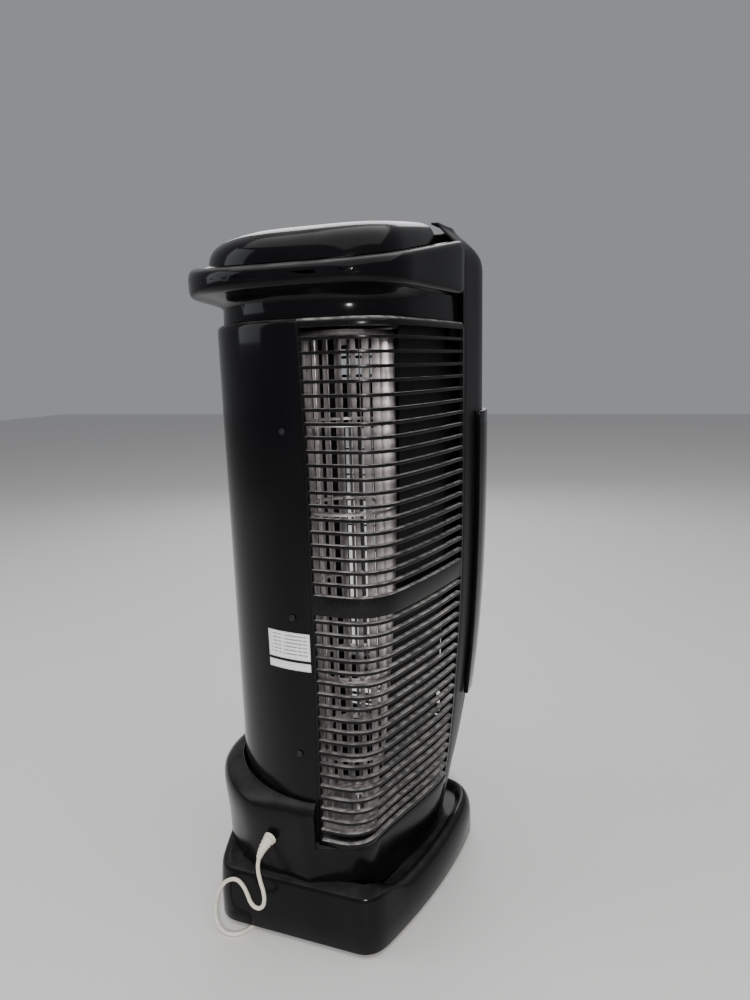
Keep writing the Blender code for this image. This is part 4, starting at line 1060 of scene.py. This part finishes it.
def camera():
    """The viewpoint behind the fan and to its right, a little tilted."""
    cam = bpy.data.cameras.new("camera")
    cam.lens = 25.31
    cam.sensor_width = 36.0
    obj = bpy.data.objects.new("camera", cam)
    bpy.context.scene.collection.objects.link(obj)
    level = Vector((HEADING_X, HEADING_Y, 0.0))
    up = Vector((0, 0, 1))
    forward = level * math.cos(CAMERA_PITCH) - up * math.sin(CAMERA_PITCH)
    down = -(level * math.sin(CAMERA_PITCH) + up * math.cos(CAMERA_PITCH))
    side = Vector((HEADING_Y, -HEADING_X, 0.0))
    right = side * ROLL_COS - down * ROLL_SIN
    low = side * ROLL_SIN + down * ROLL_COS
    turn = Matrix((right, -low, -forward)).transposed().to_4x4()
    obj.matrix_world = Matrix.Translation(Vector(CAMERA_AT) + SHIFT) @ turn
    bpy.context.scene.camera = obj


def studio():
    """A plain pale floor under soft light."""
    bm = bmesh.new()
    bmesh.ops.create_grid(bm, x_segments=2, y_segments=2, size=9.0)
    floor = bpy.data.objects.new("floor", mesh_from(bm, "floor"))
    bpy.context.scene.collection.objects.link(floor)
    pale = Finish("pale_floor", (0.72, 0.71, 0.69), 0.55)
    floor.data.materials.append(pale.mat)
    world = bpy.data.worlds.new("studio")
    bpy.context.scene.world = world
    world.use_nodes = True
    back = world.node_tree.nodes["Background"]
    back.inputs["Color"].default_value = (0.93, 0.95, 1.0, 1.0)
    back.inputs["Strength"].default_value = 0.30
    softbox("window", (-0.75, 1.75, 1.05), (-0.02, 0.02, 0.45), 0.16, 0.16, 24, (1.0, 0.97, 0.96))
    softbox("ceiling", (-0.4, 0.3, 3.2), (0, 0, 0.3), 4.5, 4.5, 95)
    softbox("side", (2.2, 1.0, 1.7), (0, 0, 0.4), 1.4, 2.0, 16, (0.95, 0.98, 1.0))
    softbox("front", (0.8, -2.4, 1.7), (0, 0, 0.45), 1.6, 1.6, 18)


def main():
    camera()
    ivory = ivory_vinyl()
    tie = plain("tie_black", (0.02, 0.02, 0.022), 0.85, scale=1500.0)
    mains_lead(ivory, tie)

    gloss = black_plastic("gloss_black", 0.09, 0.24, color=(0.0028, 0.0028, 0.0036))
    crown = black_plastic("lid_black", 0.09, 0.05, haze=0.08, color=(0.0028, 0.0028, 0.0036))
    base = black_plastic("foot_black", 0.13, 0.07, haze=0.10, spots=0.05, color=(0.0035, 0.0035, 0.0040))
    satin = black_plastic("frame_black", 0.32, 0.08, texture=0.5, color=(0.007, 0.007, 0.008))
    inner = black_plastic("inner_black", 0.50, 0.12, texture=0.3, color=(0.004, 0.004, 0.0045))
    foot(base)
    boot(base)
    rear_shell(gloss)
    intake_grille(dusty_bars_painted_highlight())
    front_frame(satin)
    cassette(gloss)
    wheel(blade_zinc_painted_reflection())
    head(gloss)
    dome(crown)
    panel_surround(satin)

    dress(zinc("sheet_zinc"), "bottom_plate", "top_plate", "floor_plate", "swing_bracket")
    dress(zinc("motor_zinc", 0.0, 0.15, 200.0), "motor", "swing_motor", "wheel_end_top", "wheel_end_bottom")
    dress(steel("bright_steel"), "wheel_pin", "motor_shaft")
    dress(steel("blacked_steel", (0.045, 0.045, 0.050), 0.34), "rear_screw_1", "rear_screw_2", "rear_screw_3")
    dress(steel("bronze", (0.52, 0.36, 0.18), 0.38, 300.0), "top_bearing")
    dress(plain("rubber_black", (0.018, 0.018, 0.018), 0.82), "motor_cradle",
          *[f"pad_{end}_{side}" for end in ("front", "rear") for side in ("left", "right")])
    dress(inner, "baffle_wall", "scroll_wall", "outlet_slats_lower", "outlet_slats_upper", "vane_rail_lower",
          "vane_rail_upper", *[f"vane_{i}" for i in range(1, 8)])
    dress(satin, "control_panel")
    dress(knob_finish(), "speed_knob", "timer_knob")
    dress(plain("grey_plastic", (0.28, 0.28, 0.29), 0.48), "vane_link", "swing_crank", "capacitor",
          "speed_switch", "timer_movement", "swing_button")
    dress(ivory, "plug")
    dress(printed_label("rating_print", 0.372, 0.406, 0.0046), "rating_label")
    dress(printed_label("serial_print", 0.3585, 0.3685, 0.0050), "serial_label")
    studio()


main()
